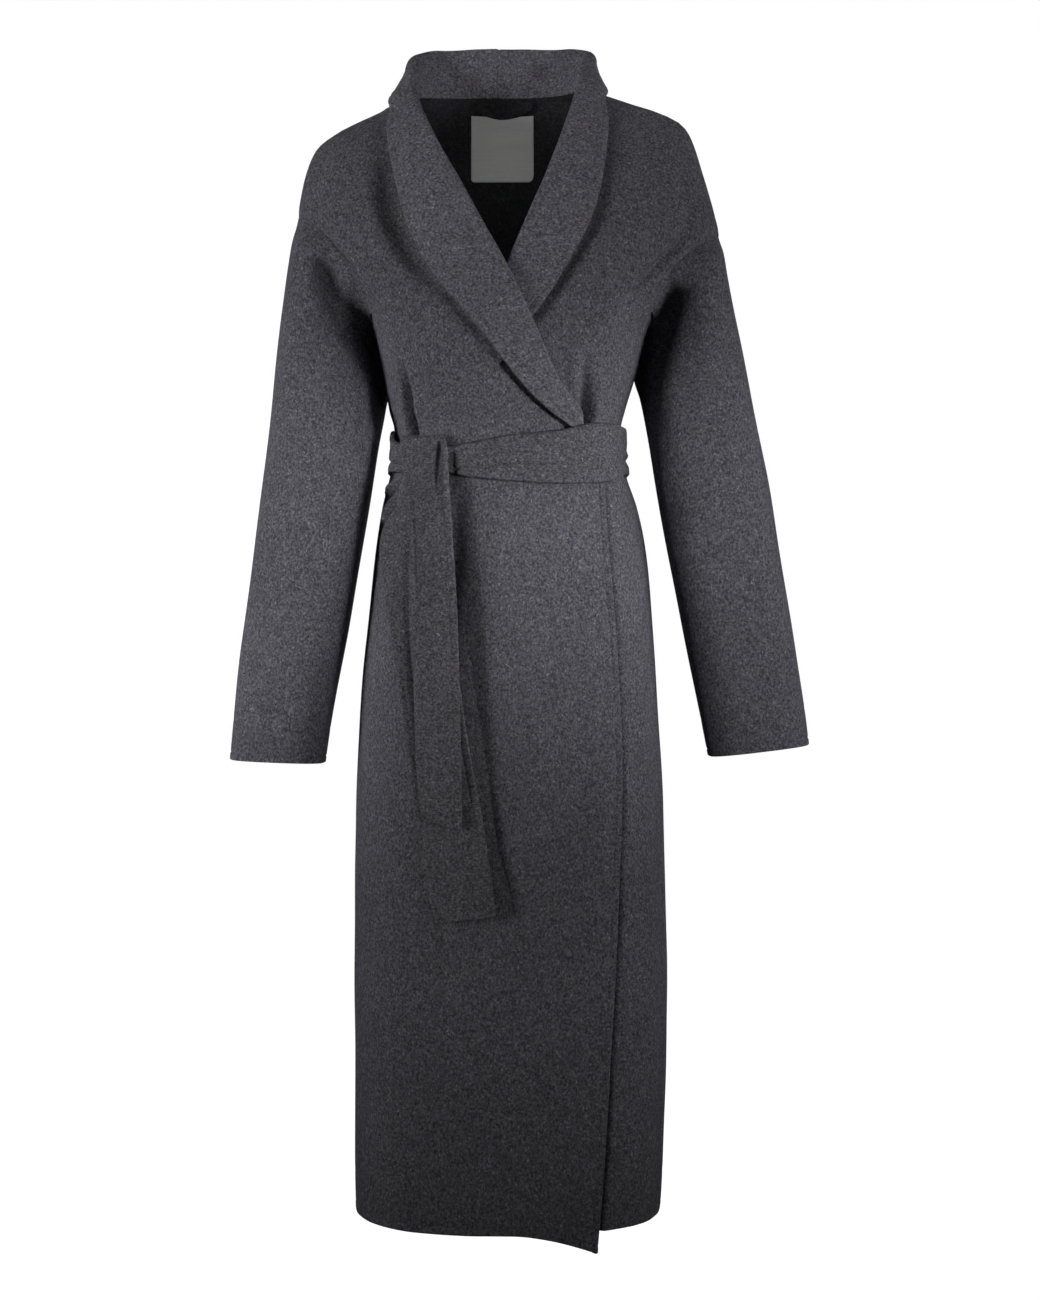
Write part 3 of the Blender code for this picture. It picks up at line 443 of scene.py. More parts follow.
def room(side, x, z):
    """Height of a front above the shell: the over front leaves room for the under front beneath it."""
    if side.lap == "under":
        return 0.0 * z
    full_from = free_edge(SIDES["left"], z) - ROOM_MARGIN
    return ROOM_AT("lift", z) * smooth_step((x - full_from) / ROOM_RAMP + 1)


def hem_share(level):
    """How far a level shares in the shaping of the hem: 1 at the hem, 0 above the shaped part."""
    return np.clip((HEM_SHAPED_TO - level) / (HEM_SHAPED_TO - HEM_Z), 0, 1) ** 2


def hole_turn(side, z, reach):
    """How far the armhole reaches round the body from the side, at the given levels."""
    share = np.clip((side.tip_z - z) / (side.tip_z - side.armpit_z), 0, 1)
    return reach * np.sin(np.pi * share) ** HOLE_SQUARENESS


def grid_normals(grid, closed=False):
    """Directions square to a grid of points, along rows cross columns."""
    if closed:
        padded = np.concatenate([grid[:, -1:], grid, grid[:, :1]], axis=1)
        along = padded[:, 2:] - padded[:, :-2]
    else:
        along = np.gradient(grid, axis=1)
    return unit(np.cross(along, np.gradient(grid, axis=0)))


def side_edge(side, rows, face):
    """Turn of a panel's side edge on every row: the side seam, the armhole, then the shoulder seam."""
    reach = side.hole_front if face == "front" else side.hole_back
    toward = 1 if (face == "front") == (side.name == "right") else -1
    start = side.seam_turn + (360.0 if side.name == "left" and face == "front" else 0.0)
    return start + toward * hole_turn(side, rows, reach)


# Small folds and creases: troughs and ridges that run between two points of the shell. Each is
# found by turn and level at its two ends, is widest and deepest at its peak (a share of its run),
# and bows sideways by bow (metres).
BODY_CREASES = table(
    "turn_a z_a turn_b z_b width rise* peak bow",
    # the wrap's front, above and below the belt
    (214, -.262, 217.5, -.398, .0082, -21, .8, .001),
    (209.5, -.262, 211.5, -.385, .007, 3.5, .7, 0),
    (222.5, -.3, 223.5, -.385, .007, 2, .7, 0),
    (303, -.272, 318.5, -.388, .008, -19, .76, .001),
    (311, -.282, 324, -.372, .0065, 3, .7, 0),
    (193, -.438, 213, -.405, .0044, -13, .4, .003),
    (194, -.47, 215, -.424, .0046, -13, .55, .006),
    (190, -.431, 210, -.399, .0038, 6, .45, .003),
    (191, -.462, 212, -.417, .0038, 6.5, .55, .006),
    (319, -.398, 329, -.43, .0042, -8, .2, 0),
    (247, -.415, 244, -.72, .012, -5, .3, 0),
    (236, -.405, 228, -.64, .015, 2, .3, 0),
    (262, -.405, 259, -.52, .011, -1.6, .3, 0),
    (281, -.405, 284, -.5, .01, -1.4, .3, 0),
    # chest
    (207, -.052, 223, -.112, .006, 2.2, .5, .002),
    (206, -.09, 209.5, -.176, .006, -3.6, .6, .001),
    (211.5, -.11, 216, -.215, .011, 2, .55, .003),
    (231, -.035, 233, -.22, .013, 5.5, .45, 0),
    (331.5, -.088, 319, -.232, .008, -9, .78, -.001),
    (322, -.11, 311, -.23, .012, 2.2, .6, 0),
    (341, -.1, 332, -.17, .007, 1.8, .5, 0),
    (286, -.205, 318, -.215, .008, 3.8, .45, .003),
    (285, -.235, 315, -.255, .009, -3.8, .5, .003),
    (222, -.215, 246, -.33, .014, 4.2, .6, .004),
    (216, -.24, 232, -.345, .011, -3.6, .7, .003),
    (296, -.27, 306, -.345, .009, 3.2, .7, 0),
    # under the arms
    (196, -.24, 222, -.3, .008, -2.2, .2, .003),
    (344, -.24, 322, -.3, .008, -2.2, .2, -.003),
    (166, -.235, 140, -.3, .009, -2.6, .2, .004),
    (14, -.238, 38, -.305, .009, -2.4, .2, -.004),
    (160, -.215, 131, -.24, .008, 2, .3, .003),
    (20, -.22, 46, -.25, .008, 1.8, .3, -.003),
    # back, gathered by the belt
    (56, -.235, 61, -.385, .008, -4.5, .75, .002),
    (74, -.262, 75, -.385, .0065, -3.6, .72, .001),
    (93, -.225, 90, -.385, .009, -4.2, .75, -.002),
    (109, -.275, 108, -.385, .006, -3.2, .7, 0),
    (125, -.24, 121, -.385, .008, -4.6, .74, -.002),
    (143, -.28, 141, -.385, .006, -3, .7, 0),
    (38, -.28, 41, -.385, .006, -2.8, .7, 0),
    (48, -.375, 44, -.56, .0085, -4, .28, .001),
    (63, -.375, 61, -.5, .0065, -3.2, .3, 0),
    (79, -.375, 78, -.6, .009, -4.4, .26, .001),
    (98, -.375, 99, -.52, .007, -3.4, .3, 0),
    (116, -.375, 119, -.59, .009, -4.4, .27, -.001),
    (134, -.375, 139, -.51, .0065, -3.2, .3, 0),
    (151, -.375, 156, -.47, .006, -2.4, .3, 0),
    (29, -.375, 25, -.47, .006, -2.4, .3, 0),
    # skirt, soft and long
    (292, -.56, 296, -.98, .017, -1.4, .45, .004),
    (222, -.7, 218, -1.19, .02, 1.8, .6, .004),
    (268, -.76, 271, -1.22, .02, 1.5, .65, -.004),
    (344, -.56, 341, -1.05, .016, -1.6, .5, .003),
    (14, -.52, 10, -1.02, .018, 2, .5, .003),
    (168, -.5, 172, -1, .018, 2.2, .5, -.003),
    (250, -.905, 289, -.93, .022, -.9, .5, .006),
    (248, -1.02, 292, -1.005, .02, .8, .5, -.006),
)

# The same on a sleeve: around is 0 at its outer line, 90 in front, 180 inside and 270 behind.
ARM_CREASE = "around_a z_a around_b z_b width rise* peak bow"
ARM_CREASES = {
    "right": table(
        ARM_CREASE,
        (66, -.12, 122, -.33, .01, -16, .45, -.002),
        (34, -.14, 62, -.33, .016, 3, .45, 0),
        (100, -.215, 165, -.29, .008, -2.6, .55, .003),
        (80, -.235, 150, -.33, .011, 2.2, .5, .004),
        (112, -.262, 172, -.345, .008, -2.4, .55, .003),
        (60, -.33, 140, -.4, .016, -1.6, .5, .006),
        (66, -.42, 160, -.452, .014, -2, .7, .005),
        (84, -.452, 170, -.492, .011, 1.7, .7, .004),
        (50, -.5, 150, -.53, .016, -1.3, .6, .006),
        (262, -.24, 196, -.31, .009, -2.8, .6, .003),
        (280, -.27, 205, -.35, .011, 2.4, .6, .004),
        (300, -.405, 215, -.44, .01, -3, .6, .005),
        (292, -.43, 205, -.475, .011, 2.4, .6, .004),
        (285, -.462, 210, -.512, .009, -2.4, .6, .004),
        (330, -.52, 240, -.6, .017, -1.6, .5, .006),
        (30, -.6, 110, -.64, .017, -1.2, .5, .006),
    ),
    "left": table(
        ARM_CREASE,
        (92, -.15, 140, -.35, .011, -16, .42, .002),
        (62, -.18, 86, -.34, .015, 3, .5, 0),
        (96, -.225, 166, -.3, .008, -2.8, .55, .003),
        (72, -.245, 150, -.34, .012, 2.2, .5, .004),
        (116, -.272, 174, -.35, .008, -2.2, .55, .003),
        (54, -.34, 138, -.395, .017, -1.5, .5, .006),
        (74, -.412, 164, -.458, .014, -2.1, .7, .005),
        (88, -.446, 172, -.498, .012, 1.6, .7, .004),
        (58, -.512, 150, -.548, .017, -1.3, .6, .006),
        (258, -.25, 194, -.312, .009, -2.8, .6, .003),
        (283, -.276, 203, -.356, .012, 2.3, .6, .004),
        (304, -.398, 214, -.436, .01, -2.8, .6, .005),
        (290, -.428, 208, -.478, .012, 2.4, .6, .004),
        (282, -.47, 212, -.506, .009, -2.2, .6, .004),
        (326, -.53, 236, -.59, .017, -1.5, .5, .006),
        (36, -.59, 118, -.622, .018, -1.2, .5, .006),
    ),
}

# Metres to a degree, round the body and round a sleeve.
TURN_METRES = 0.0024
ARM_METRES = 0.0010


def run_profile(t, peak):
    """Strength of a crease along its run: 0 at both ends, 1 at its peak."""
    return smooth_step(t / peak) * smooth_step((1 - t) / (1 - peak))


def creases_at(rows, u, v, u_scale):
    """Sum of the creases at points u (degrees) and v (level)."""
    total = 0.0 * (u + v)
    for row in rows:
        u_a, v_a, u_b, v_b, width, rise, peak, bow = row
        du, run_u = (((to - u_a + 180.0) % 360.0 - 180.0) * u_scale for to in (u, u_b))
        dv, run_v = v - v_a, v_b - v_a
        length = math.hypot(run_u, run_v)
        t = np.clip((du * run_u + dv * run_v) / length ** 2, 0, 1)
        across = (du * run_v - dv * run_u) / length - bow * np.sin(np.pi * t)
        strength = run_profile(t, peak)
        total = total + rise * strength * bell(across, width * (0.55 + 0.45 * strength))
    return total


# The front sinks under the lapel's outer edge: by how much and how far out, down the edge.
HOLLOWS = table(
    "z over* over_width under* under_width",
    (-.42, 0, .01, 0, .01),
    (-.375, 3, .008, 0, .008),
    (-.34, 5.5, .009, 3, .007),
    (-.29, 6, .01, 5, .008),
    (-.23, 6.5, .012, 6.5, .008),
    (-.19, 9.5, .022, 7, .009),
    (-.15, 14, .038, 7, .01),
    (-.11, 16, .046, 6, .01),
    (-.075, 12, .04, 5, .009),
    (-.035, 3, .016, 3, .008),
    (0, .5, .01, .5, .008),
)
HOLLOW_AT = Track(HOLLOWS, "z")
# Under the lapel the sinking fades out over this distance from its edge.
HOLLOW_UNDER = 0.035


def lapel_hollow(side, x, z):
    """How far a front sinks beside and under its lapel's outer edge."""
    edge_z, edge = np.array(sorted((row.edge_z, row.edge) for row in LAPELS[side.lap])).T
    edge_x = NECK_X + side.sign * edge
    lean = np.interp(z, (edge_z[1:] + edge_z[:-1]) / 2, np.diff(edge_x) / np.diff(edge_z))
    away = (x - np.interp(z, edge_z, edge_x)) * side.sign / np.sqrt(1 + lean ** 2)
    wide = HOLLOW_AT(side.lap + "_width", z)
    reach = np.where(away > 0, bell(away, wide), smooth_step(1 + away / HOLLOW_UNDER))
    return HOLLOW_AT(side.lap, z) * reach


# The over front sinks behind the belt's hanging ends: their edges' x, and by how much.
BEHIND_ENDS = table(
    "z left right sink*",
    (-.93, -.069, -.0121, 0),
    (-.872, -.069, -.0121, 6),
    (-.789, -.0855, -.03, 6),
    (-.698, -.095, -.04, 5),
    (-.586, -.1095, -.052, 3.5),
    (-.529, -.1175, -.054, 3),
    (-.48, -.1215, -.056, 2.5),
    (-.435, -.106, -.058, 1.5),
    (-.41, -.1, -.06, 0),
)
BEHIND_AT = Track(BEHIND_ENDS, "z")
# The sinking starts this far before their left edge. It ends this far past their right edge and fades
# over this width.
BEHIND_START, BEHIND_PAST, BEHIND_FADE = .0055, .004, .030

# The under front's groove along the wrap's edge, the slight curl of that edge, and where both start.
WRAP_GROOVE, WRAP_GROOVE_WIDTH = 10.0 * MM, .0040
WRAP_CURL, WRAP_CURL_WIDTH = 1.2 * MM, .0050
WRAP_TOP_Z, WRAP_TOP_FADE = -.345, .020


def below_wrap_top(z):
    """1 below the wrap's crossing, 0 above it."""
    return smooth_step((WRAP_TOP_Z - z) / WRAP_TOP_FADE)


def behind_ends(x, z):
    """How far the over front sinks behind the belt's hanging ends."""
    start = smooth_step((x - BEHIND_AT("left", z)) / BEHIND_START + 1)
    finish = smooth_step((x - BEHIND_AT("right", z) - BEHIND_PAST) / BEHIND_FADE)
    return BEHIND_AT("sink", z) * start * (1 - finish)


def beside_wrap(x, z):
    """How far the under front sinks in a narrow groove along the over front's free edge."""
    away = x - free_edge(SIDES["right"], z) - 0.5 * MM
    return WRAP_GROOVE * below_wrap_top(z) * bell(away, WRAP_GROOVE_WIDTH)


# How far past the belt's edges the coat's cloth is still held flat, and over which height that fades.
BELT_HOLD, BELT_HOLD_FADE = .014, .010


def under_belt(turn, z):
    """1 where the belt lies on the coat, fading to 0 a little beyond its edges."""
    turn = turn % 360.0
    below_top = (BAND_AT("top", turn) + BELT_HOLD - z) / BELT_HOLD_FADE
    above_bottom = (z - BAND_AT("bottom", turn) + BELT_HOLD) / BELT_HOLD_FADE
    return smooth_step(below_top) * smooth_step(above_bottom)


def creased(turn, z, lift):
    """Points at a height over the coat's outer face, with its small creases."""
    turn, z = np.broadcast_arrays(np.asarray(turn, float), np.asarray(z, float))
    rise = creases_at(BODY_CREASES, turn, z, TURN_METRES)
    rise = rise - np.maximum(rise, 0) * under_belt(turn, z)
    return shell(turn, z) + (np.asarray(lift, float) + rise)[..., None] * shell_normal(turn, z)


# Edges and seams: how far the rows or columns beside them lie from them. Distances are in metres.
EDGE_STEPS = np.array([0, .0008, .0018, .0030, .0045, .0058, .0066, .0073, .0080, .0088, .0102, .0125])
SEAM_STEPS = np.array([0, .0006, .0014, .0025, .0040, .0060, .0085])


def felled(distance):
    """Height of a felled edge: a slightly raised rim, then the shallow groove of its stitches."""
    rim = 0.35 * MM * smooth_step((.0070 - distance) / .0025) * smooth_step((distance + .0010) / .0020)
    return rim - 0.55 * MM * bell(distance - .0073, .0010)


def seam_sink(distance, depth=0.9 * MM):
    """Height near a plain seam: the cloth dips into it."""
    return -depth * bell(distance, .0014)


def seam_ridge(distance):
    """Height near a felled seam: a dip at the seam, a low ridge beside it and a stitch groove."""
    ridge = 0.40 * MM * smooth_step((.0075 - distance) / .0020) * smooth_step(distance / .0020)
    return ridge - 0.35 * MM * bell(distance, .0012) - 0.2 * MM * bell(distance - .0080, .0010)


# How far a hand-sewn line strays, and how high a hem is turned up.
HAND = 0.25 * MM
HEM_DEPTH = .040


def hand_waver(along, seed):
    """Slight unevenness of a hand-sewn line, about -1 to 1."""
    waves = ((211.0, 1.0), (97.0, 2.3), (431.0, 0.7))
    return sum(np.sin(along * pace + shift * seed) for pace, shift in waves) / 3


# Rows as a continuous count, so that surfaces can be as fine as they need to be.
ROW_NUMBERS = np.arange(len(SKIRT_ROWS) + 1, dtype=float)
HOLE_START = float(len(SKIRT_ROWS))
TIP_ROW = HOLE_START + HOLE_ROWS
NECK_ROW = TIP_ROW + len(SHOULDER_ROWS)


def row_z(turn, row):
    """Level of a row (a fractional row number) at a turn."""
    turn, row = np.broadcast_arrays(np.asarray(turn, float), np.asarray(row, float))
    across = (1 + np.cos(np.radians(turn))) / 2
    tip, armpit, neck = (
        blend(getattr(SIDES["right"], name), getattr(SIDES["left"], name), across)
        for name in ("tip_z", "armpit_z", "neck_z"))
    neck = neck + np.clip(np.sin(np.radians(turn)), 0, 1) * (BACK_NECK_Z - neck)
    low = np.interp(row, ROW_NUMBERS[:-1], SKIRT_ROWS)
    last = np.clip(row - (HOLE_START - 1), 0, 1)
    low = np.where(row > HOLE_START - 1, blend(SKIRT_ROWS[-1], armpit, last), low)
    share = np.clip((row - HOLE_START) / HOLE_ROWS, 0, 1)
    hole = blend(armpit, tip, blend(share, (1 - np.cos(np.pi * share)) / 2, HOLE_ROWS_EASE))
    shares = np.interp(row - TIP_ROW, np.arange(len(SHOULDER_ROWS) + 1), (0.0,) + SHOULDER_ROWS)
    top = blend(tip, neck, shares)
    return np.where(row <= HOLE_START, low, np.where(row <= TIP_ROW, hole, top))


def skirt_row(z):
    """Row number of a level below the armhole."""
    return np.interp(z, SKIRT_ROWS + (SIDES["right"].armpit_z,), ROW_NUMBERS)


# The rows' steps on the skirt and, from this level up, at the waist; and how many rows take the place
# of one on the armhole and on the shoulder.
SKIRT_STEP, WAIST_FROM, WAIST_STEP = .0060, -.470, .0036
HOLE_PARTS, SHOULDER_PARTS = 4, 3


def fine_rows(top_row):
    """Row numbers of a panel from its hem to its top."""
    hem = HEM_Z + EDGE_STEPS
    skirt = np.arange(hem[-1] + SKIRT_STEP / 2, WAIST_FROM, SKIRT_STEP)
    waist = np.arange(WAIST_FROM + WAIST_STEP / 2, SIDES["right"].armpit_z - WAIST_STEP / 2, WAIST_STEP)
    low = skirt_row(np.concatenate([hem, skirt, waist]))
    hole = np.linspace(HOLE_START, TIP_ROW, HOLE_ROWS * HOLE_PARTS + 1)
    high = np.arange(TIP_ROW + 1 / SHOULDER_PARTS, top_row - TINY, 1 / SHOULDER_PARTS)
    return np.concatenate([low, hole, high, [top_row]])


def fine_shares(width, first, last, step):
    """Shares across a panel, finer near its edges; first and last are distances from each edge."""
    middle = np.arange(first[-1] + step / 2, width - last[-1] - step / 2, step)
    return np.concatenate([first, middle, (width - last)[::-1]]) / width


# Meshes
RIM_OUT = 0.42


def add_object(name, data):
    item = bpy.data.objects.new(name, data)
    bpy.context.scene.collection.objects.link(item)
    return item


def make_mesh(name, points, faces):
    mesh = bpy.data.meshes.new(name)
    mesh.from_pydata(points.tolist(), [], faces.tolist())
    mesh.update()
    mesh.shade_smooth()
    return add_object(name, mesh)


def cloth_piece(name, outer, inner, materials, closed=False):
    """A closed wall of cloth between two grids of points, with round rims; closed joins its sides."""
    rows, columns = outer.shape[:2]
    count = rows * columns
    index = np.arange(count).reshape(rows, columns)
    steps = columns if closed else columns - 1
    right = np.roll(index, -1, axis=1)[:, :steps]
    left = index[:, :steps]
    out_faces = np.stack([left[:-1], right[:-1], right[1:], left[1:]], axis=-1).reshape(-1, 4)
    flat_outer, flat_inner = outer.reshape(-1, 3), inner.reshape(-1, 3)
    points = [flat_outer, flat_inner]
    faces = [out_faces, out_faces[:, ::-1] + count]
    if closed:
        rims = [(index[0], index[1]), (index[-1][::-1], index[-2][::-1])]
    else:
        around = np.concatenate([index[0], index[1:, -1], index[-1, :-1][::-1], index[1:-1, 0][::-1]])
        inward = np.concatenate([index[1], index[1:-1, -2], [index[-2, -2]], index[-2, 1:-1][::-1],
                                 [index[-2, 1]], index[1:-1, 1][::-1]])
        inward[0] = index[1, 1]
        inward[columns - 1] = index[1, -2]
        rims = [(around, inward)]
    total = 2 * count
    for around, inward in rims:
        middle = (flat_outer[around] + flat_inner[around]) / 2
        deep = (flat_outer[inward] + flat_inner[inward]) / 2
        thick = np.linalg.norm(flat_outer[around] - flat_inner[around], axis=1, keepdims=True)
        points.append(middle + unit(middle - deep) * thick * RIM_OUT)
        number = total + np.arange(len(around))
        total += len(around)
        following = np.roll(np.arange(len(around)), -1)
        faces.append(np.stack([around[following], around, number, number[following]], axis=-1))
        below, below_following = around + count, around[following] + count
        faces.append(np.stack([number[following], number, below, below_following], axis=-1))
    faces = np.concatenate(faces)
    piece = make_mesh(name, np.concatenate(points), faces)
    for material in materials:
        piece.data.materials.append(material)
    slots = np.zeros(len(faces), np.int32)
    slots[len(out_faces):len(out_faces) * 2] = len(materials) - 1
    piece.data.polygons.foreach_set("material_index", slots)
    return piece


def add_along(grid, normals, height):
    return grid + normals * height[..., None]


def distance_from(grid, edge):
    """Distance of every grid point from the grid's first or last column, or from its foot, the first row."""
    if edge == "last":
        return distance_from(grid[:, ::-1], "first")[:, ::-1]
    axis = 0 if edge == "foot" else 1
    step = np.linalg.norm(np.diff(grid, axis=axis), axis=-1)
    return np.insert(np.cumsum(step, axis=axis), 0, 0.0, axis=axis)


def hole_weight(row):
    """1 along the armhole, 0 along the side seam below it and the shoulder seam above."""
    return smooth_step((row - HOLE_START + .4) / .8) * smooth_step((TIP_ROW + .4 - row) / .8)


def panel_relief(base, row, seams, curl):
    """Height of seams, hem and, where a curl is given, the free edge of a panel."""
    height = np.zeros(base.shape[:2])
    weight = hole_weight(row)[:, None]
    for side in seams:
        distance = distance_from(base, side)
        height += weight * seam_ridge(distance) + (1 - weight) * seam_sink(distance)
    if curl is not None:
        distance = distance_from(base, "last")
        height += felled(distance + HAND * hand_waver(base[..., 2], 1.0))
        height += curl * below_wrap_top(base[..., 2]) * bell(distance, WRAP_CURL_WIDTH)
    hem = distance_from(base, "foot")
    height += felled(hem + HAND * hand_waver(base[..., 0], 2.0))
    height += -0.16 * MM * bell(hem - HEM_DEPTH, .0016)
    return height


def skirt_waves(turn, z):
    """Very low, uneven waves of the cloth."""
    a, b = np.radians(turn), z
    wave = (np.sin(5 * a + 9 * b + .4) * np.sin(14 * b + 2 * a + 1.1)
            + .6 * np.sin(9 * a - 17 * b + 2.0) * np.sin(23 * b + .3)
            + .4 * np.sin(17 * a + 31 * b) * np.sin(11 * a - 27 * b + 1.7))
    return 0.55 * MM * wave * smooth_step((-z - .03) / .08)


# How wide the back and a front are taken to be, and the step of their columns.
BACK_WIDTH, BACK_STEP = .46, .0034
FRONT_WIDTH, FRONT_STEP = .30, .0027


def make_panel(name, turn, z, lift, row, seams, curl=None, sunk=0.0):
    relief = panel_relief(lifted(turn, z, lift), row, seams, curl) + skirt_waves(turn, z)
    lift = lift - sunk
    outer = creased(turn, z, lift + relief)
    inner = creased(turn, z, lift - CLOTH + 0.5 * relief)
    return cloth_piece(name, outer, inner, (MATERIALS["wool"], MATERIALS["wool_inside"]))


def make_back():
    row = fine_rows(NECK_ROW)
    left, right = (side_edge(SIDES[name], row_z(SIDES[name].seam_turn, row), "back")
                   for name in ("left", "right"))
    share = fine_shares(BACK_WIDTH, SEAM_STEPS, SEAM_STEPS, BACK_STEP)
    turn = blend(left[:, None], right[:, None], share[None, :])
    z = row_z(blend(0.0, 180.0, share)[None, :], row[:, None])
    return make_panel("coat_back", turn, z, 0 * z, row, ("first", "last"))


def front_fine(side, row, share):
    """Turns and levels of a front's points, with the over front's hem drawn down to its point."""
    level = row_z(side.seam_turn, row)
    z = np.repeat(level[:, None], len(share), axis=1)
    low = row <= HOLE_START - 1
    start = side_edge(side, level, "front")
    for _ in range(3):
        edge_turn = front_turn(free_edge(side, z[:, -1]), z[:, -1])
        turn = blend(start[:, None], edge_turn[:, None], share[None, :])
        if side.name == "right":
            x = shell(turn, z)[..., 0]
            drop = HEM_POINT_DROP * np.clip(x[0] / HEM_POINT_X, 0, 1) ** 2
            z = np.where(low[:, None], level[:, None] - drop[None, :] * hem_share(level)[:, None], z)
    return turn, z


def make_front(side):
    over = side.lap == "over"
    row = fine_rows(float(FRONT_TOP_ROW))
    turn, z = front_fine(side, row, fine_shares(FRONT_WIDTH, SEAM_STEPS, EDGE_STEPS, FRONT_STEP))
    x = shell(turn, z)[..., 0]
    sunk = lapel_hollow(side, x, z) + (behind_ends(x, z) if over else beside_wrap(x, z))
    curl = WRAP_CURL if over else 0.0
    return make_panel("coat_front_" + side.name, turn, z, room(side, x, z), row, ("first",), curl, sunk)


# Collar
FINE_ARC = np.radians(np.linspace(-90, 90, 13))
STAND_SHARES = np.array([0.0, .03, .08, .2, .4, .6, .8])
EDGE_PART = 0.024


def fine_roll_base(side):
    """Turns and levels of the line where the collar joins: round the neck, then down the front."""
    neck_turn = 180.0 * np.linspace(0.5, 1.0, 61)
    if side.name == "left":
        neck_turn = 180.0 - neck_turn
    row = np.concatenate([np.linspace(side.lapel_row, HOLE_START, 64)[:-1],
                          np.linspace(HOLE_START, FRONT_TOP_ROW, 121)])[::-1]
    level = row_z(side.seam_turn, row)
    turn = front_turn(free_edge(side, level), level)
    return neck_turn, row_z(neck_turn, NECK_ROW), turn[1:], level[1:]


def fall_shares(length):
    """Shares along the fall for each row, in metres near the outer edge; shape (steps, rows)."""
    scale = np.minimum(length / EDGE_PART, 1.0) / length
    near = 1 - EDGE_STEPS[::-1][:, None] * scale[None, :]
    far = np.linspace(0, 1, 17)[1:-1, None] * near[0][None, :]
    return np.concatenate([far, near])


def fine_neck(base, visible, out, turn):
    """The collar's rows round the neck: up the stand, over the fold and down the fall."""
    half_turn = np.where(turn < 90, 180 - turn, turn)[:, None]
    up = np.array([0, 0, 1.0])
    wider = 1 + LEFT_WIDER * smooth_step((90 - turn[:, None]) / 40)
    fold = base + out * STAND_AT("fold_out", half_turn) * wider + up * STAND_AT("fold_up", half_turn)
    edge = base + out * STAND_AT("edge_out", half_turn) + up * STAND_AT("edge_up", half_turn)
    down = unit(unit(visible - fold) + unit(edge - fold))
    across = edge - fold
    across = unit(across - down * np.sum(across * down, axis=-1, keepdims=True))
    radius = STAND_AT("radius", half_turn)
    arc = [fold + radius * (down * (1 - math.cos(a)) + across * math.sin(a)) for a in FINE_ARC]
    points = [blend(visible, arc[0], t) for t in STAND_SHARES] + arc
    for t in fall_shares(np.linalg.norm(edge - arc[-1], axis=-1)):
        points.append(blend(arc[-1], edge, t[:, None]) + across * FALL_BULGE * np.sin(math.pi * t)[:, None])
    return np.stack(points, axis=1)


def fine_lapel(side, visible, z):
    """The lapel's rows: round the roll line and across the front to the outer edge."""
    roll, edge, edge_z, radius, edge_lift = (
        LAPEL_AT[side.lap](name, z) for name in ("roll", "edge", "edge_z", "radius", "edge_lift"))

    def on_front(reach, level, lift):
        x = NECK_X + side.sign * reach
        return creased(front_turn(x, level), level, room(side, x, level) + lift)

    arc = [on_front(roll + radius * (1 - math.cos(a)), z, radius - CLOTH + radius * math.sin(a))
           for a in FINE_ARC]
    points = [blend(visible, arc[0], t) for t in STAND_SHARES] + arc
    length = np.maximum(np.hypot(edge - roll - radius, edge_z - z), .002)
    top = 2 * radius - CLOTH
    for t in fall_shares(length):
        points.append(on_front(blend(roll + radius, edge, t), blend(z, edge_z, t), blend(top, edge_lift, t)))
    return np.stack(points, axis=1)


def fine_collar(side):
    """Points of half a collar with its lapel, and of the line where it joins the coat."""
    neck_turn, neck_z, front_turns, front_z = fine_roll_base(side)
    turn = np.concatenate([neck_turn, front_turns])
    z = np.concatenate([neck_z, front_z])
    count = len(neck_turn)
    lift = np.where(np.arange(len(turn)) >= count, room(side, shell(turn, z)[:, 0], z), 0.0)
    base = creased(turn, z, lift)
    visible = creased(turn, z, lift - CLOTH)
    out = unit((base - np.array([NECK_X, 0, 0])) * np.array([1, 1, 0]))
    neck = fine_neck(base[:count], visible[:count], out[:count], neck_turn)
    lapel = fine_lapel(side, visible[count:], front_z)
    carried = neck[-1][None] + (base[count:] - base[count - 1])[:, None]
    share = smooth_step((side.neck_z - front_z) / STAND_FADE)[:, None, None]
    return np.concatenate([neck, blend(carried, lapel, share)]), base


def make_collar(side):
    face, base = fine_collar(side)
    mirrored = face[1:2] * np.array([-1, 1, 1]) + np.array([2 * face[0, 0, 0], 0, 0])
    normals = grid_normals(np.concatenate([mirrored, face]))[1:] * -side.sign
    distance, along = distance_from(face, "last"), distance_from(face, "foot")
    height = felled(distance + 0.3 * MM * hand_waver(along, 3.0 + side.sign))
    height += 0.35 * MM * np.sin(along * 37.0 + side.sign) * np.sin(distance * 61.0 + along * 19.0)
    height += seam_sink(along, 0.8 * MM)
    face = add_along(face, normals, height)
    hidden = face - CLOTH * normals
    hidden[:, 0] = base
    # The collar takes the lighter copy of the wool: painted light.
    return cloth_piece("collar_half_" + side.name, face, hidden, (MATERIALS["wool_collar"],))


# Sleeves
AROUND_COUNT = 156
# The sleeves hang flatter than an ellipse: the power of their sections (1 is an ellipse).
SLEEVE_SQUARE = 0.76


def spline_rows(grids, keys, where):
    """Smooth curve through a list of rows of points."""
    slope = np.empty_like(grids)
    step = np.diff(keys)[:, None, None]
    rise = np.diff(grids, axis=0) / step
    slope[1:-1] = (rise[:-1] * step[1:] + rise[1:] * step[:-1]) / (step[1:] + step[:-1])
    slope[0], slope[-1] = rise[0], rise[-1]
    k = np.clip(np.searchsorted(keys, where, side="right") - 1, 0, len(keys) - 2)
    span = (keys[k + 1] - keys[k])[:, None, None]
    t = ((where - keys[k]) / (keys[k + 1] - keys[k]))[:, None, None]
    return hermite(t, span, grids[k], slope[k], grids[k + 1], slope[k + 1])


